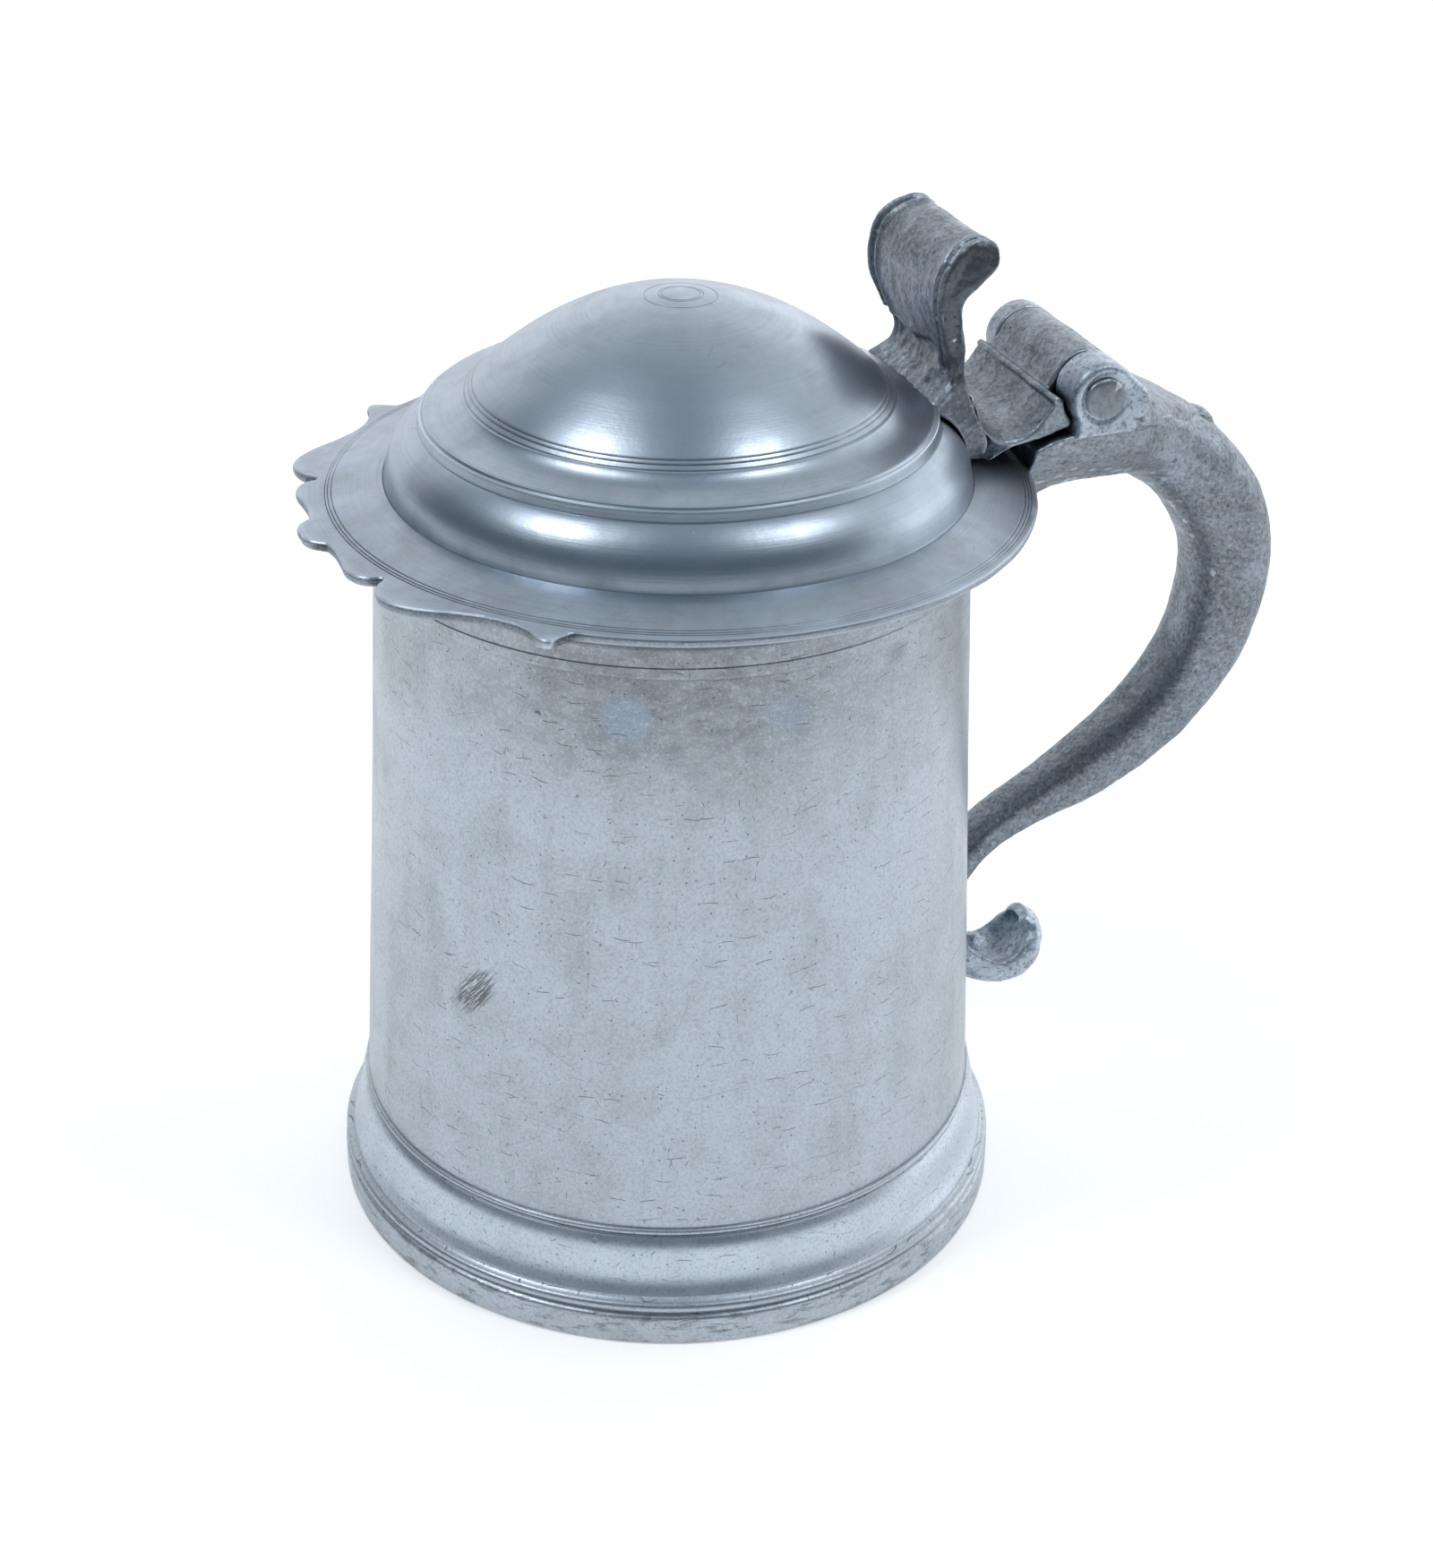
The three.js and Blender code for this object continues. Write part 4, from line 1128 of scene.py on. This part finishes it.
def floor_material():
    """A pale seamless studio floor, lit evenly enough to look white."""
    material = bpy.data.materials.new("studio_floor")
    g = Graph(material)
    at = g.node("TexCoord", {}).outputs["Object"]
    tone = g.out("TexNoise", {"Vector": at, "Scale": 9, "Detail": 3.0})
    colour = g.mix(tone, (0.84, 0.845, 0.85, 1), (0.86, 0.865, 0.87, 1))
    inputs = {"Base Color": colour, "Roughness": 0.7, "Emission Color": (1, 1, 1, 1),
              "Emission Strength": 0.42}
    g.node("OutputMaterial", {"Surface": g.out("BsdfPrincipled", inputs)})
    return material


# ---- camera, light and floor
VIEW_TURN = math.radians(21.5)
RIGHT = Vector((math.cos(VIEW_TURN), -math.sin(VIEW_TURN), 0))
TOWARDS_CAMERA = Vector((-math.sin(VIEW_TURN), -math.cos(VIEW_TURN), 0))
CAMERA_ELEVATION = math.radians(28.98)
CAMERA_DISTANCE = 0.5286
CAMERA_ROLL = math.radians(1.05)
CAMERA_LENS = 66.38
CAMERA_SENSOR = 36
TARGET_RIGHT = 0.00842
TARGET_HEIGHT = 0.07945
DIM_SIDE_TURN = math.radians(20)
LIGHT_ELEVATION = math.radians(57)
LIGHT_TURN = math.radians(66)
LIGHT_DISTANCE = 1.5
LIGHT_COLOUR = (0.97, 0.985, 1)
LIGHT_TARGET_HEIGHT = 0.08
FLOOR_RINGS = (0.0001, 400, 900, 2000, 8000)
FLOOR_DROP = 0.02


def add_camera():
    """Looks down at the tankard from its front left, a little rolled."""
    data = bpy.data.cameras.new("camera")
    data.lens = CAMERA_LENS
    data.sensor_width = CAMERA_SENSOR
    data.clip_start = 0.02
    data.clip_end = 60
    camera = linked("camera", data)
    back = TOWARDS_CAMERA * math.cos(CAMERA_ELEVATION) + Vector((0, 0, math.sin(CAMERA_ELEVATION)))
    up = back.cross(RIGHT)
    right = RIGHT * math.cos(CAMERA_ROLL) + up * math.sin(CAMERA_ROLL)
    up = back.cross(right)
    target = Vector((DRUM_AXIS_X * MM, 0, TARGET_HEIGHT)) + RIGHT * TARGET_RIGHT
    place = Matrix((right, up, back)).transposed().to_4x4()
    place.translation = target + back * CAMERA_DISTANCE
    camera.matrix_world = place
    bpy.context.scene.camera = camera


def softbox(name, turn, size, watts):
    """A square soft light, turned this far to the camera's right of the object."""
    side = TOWARDS_CAMERA * math.cos(turn) + RIGHT * math.sin(turn)
    direction = side * math.cos(LIGHT_ELEVATION) + Vector((0, 0, math.sin(LIGHT_ELEVATION)))
    data = bpy.data.lights.new(name, "AREA")
    data.shape = "RECTANGLE"
    data.size = size
    data.size_y = size
    data.energy = watts
    data.color = LIGHT_COLOUR
    light = linked(name, data)
    light.location = Vector((DRUM_AXIS_X * MM, 0, LIGHT_TARGET_HEIGHT)) + direction * LIGHT_DISTANCE
    light.rotation_euler = direction.to_track_quat("Z", "Y").to_euler()


def add_world():
    """White walls, brighter at the right and behind, and a dim side towards the camera."""
    world = bpy.data.worlds.new("studio")
    bpy.context.scene.world = world
    g = Graph(world)
    direction = g.node("TexCoord", {}).outputs["Generated"]

    def towards(side):
        return g.node("VectorMath", {0: direction, 1: side}, operation="DOT_PRODUCT").outputs["Value"]

    facing = towards(TOWARDS_CAMERA * math.cos(DIM_SIDE_TURN) - RIGHT * math.sin(DIM_SIDE_TURN))
    right_back = towards(RIGHT * 0.8 - TOWARDS_CAMERA * 0.6)
    up = g.node("SeparateXYZ", {"Vector": direction}).outputs[2]
    walls = g.mix(g.band(up, 0.3, 1), (1.2, 1.23, 1.26, 1), (0.66, 0.69, 0.72, 1))
    bright = g.times(g.band(right_back, 0.25, 0.95), g.band(up, 0.7, 0.1))
    walls = g.mix(bright, walls, (1.9, 1.95, 2, 1))
    dim = g.mix(g.band(up, 0.3, 0.95), (0.085, 0.118, 0.15, 1), (0.27, 0.335, 0.395, 1))
    colour = g.mix(g.band(facing, -0.5, 0.05), walls, dim)
    g.node("OutputWorld", {"Surface": g.out("Background", {"Color": colour, "Strength": 1.0})})


def add_floor():
    """A wide round sheet just under the tankard, its middle closed by a pinhole ring."""
    profile = [(radius, -FLOOR_DROP) for radius in FLOOR_RINGS]
    floor = turned("studio_floor_sheet", profile, all_round(72), -DRUM_AXIS_X)
    floor.data.materials.append(floor_material())


# ---- assembly
add_camera()
softbox("softbox_left", -LIGHT_TURN, 0.36, 6.1)
softbox("softbox_right", LIGHT_TURN, 0.32, 4.2)
add_world()
add_floor()

TURNED = turned_pewter()
LID = lid_pewter()
CAST = cast_pewter("cast_pewter", 1, 0.75)
# Lighter copies of the cast finish paint light onto the lugs and the hook.
LUG_CAST_PAINTED_LIGHT = cast_pewter("lug_pewter_painted_light", 1.75, 0)
HOOK_CAST = cast_pewter("hook_pewter", 2.6, 0)
PIN = pin_pewter()

near_lug = build_lug("lug_near", -HINGE_HALF_WIDTH, KNUCKLE_LOW_Y - SEAM_GAP / 2, -1, 10)
far_lug = build_lug("lug_far", KNUCKLE_HIGH_Y + SEAM_GAP / 2, HINGE_HALF_WIDTH, 1, 11)
shown(build_drum(), "vessel", "turned_pewter", TURNED, "drum")
shown(build_foot(), "vessel", "turned_pewter", TURNED, "foot_ring")
shown(build_base(), "vessel", "turned_pewter", TURNED, "base_plate")
shown(build_handle(), "vessel", "cast_pewter", CAST, "handle")
shown(build_terminal(), "vessel", "cast_pewter", HOOK_CAST, "handle_terminal")
shown(build_tongue(), "vessel", "cast_pewter", CAST, "handle_tongue")
shown(near_lug, "vessel", "cast_pewter", LUG_CAST_PAINTED_LIGHT, "hinge_lug_near")
shown(far_lug, "vessel", "cast_pewter", LUG_CAST_PAINTED_LIGHT, "hinge_lug_far")
shown(build_pin(), "vessel", "pin_pewter", PIN, "hinge_pin")
shown(build_lid(), "lid", "lid_pewter", LID, "lid_cover")
shown(build_thumbpiece(), "lid", "cast_pewter", CAST, "thumbpiece")
shown(build_arm(), "lid", "cast_pewter", CAST, "lid_hinge_arm")

bpy.context.scene.view_settings.view_transform = "Standard"
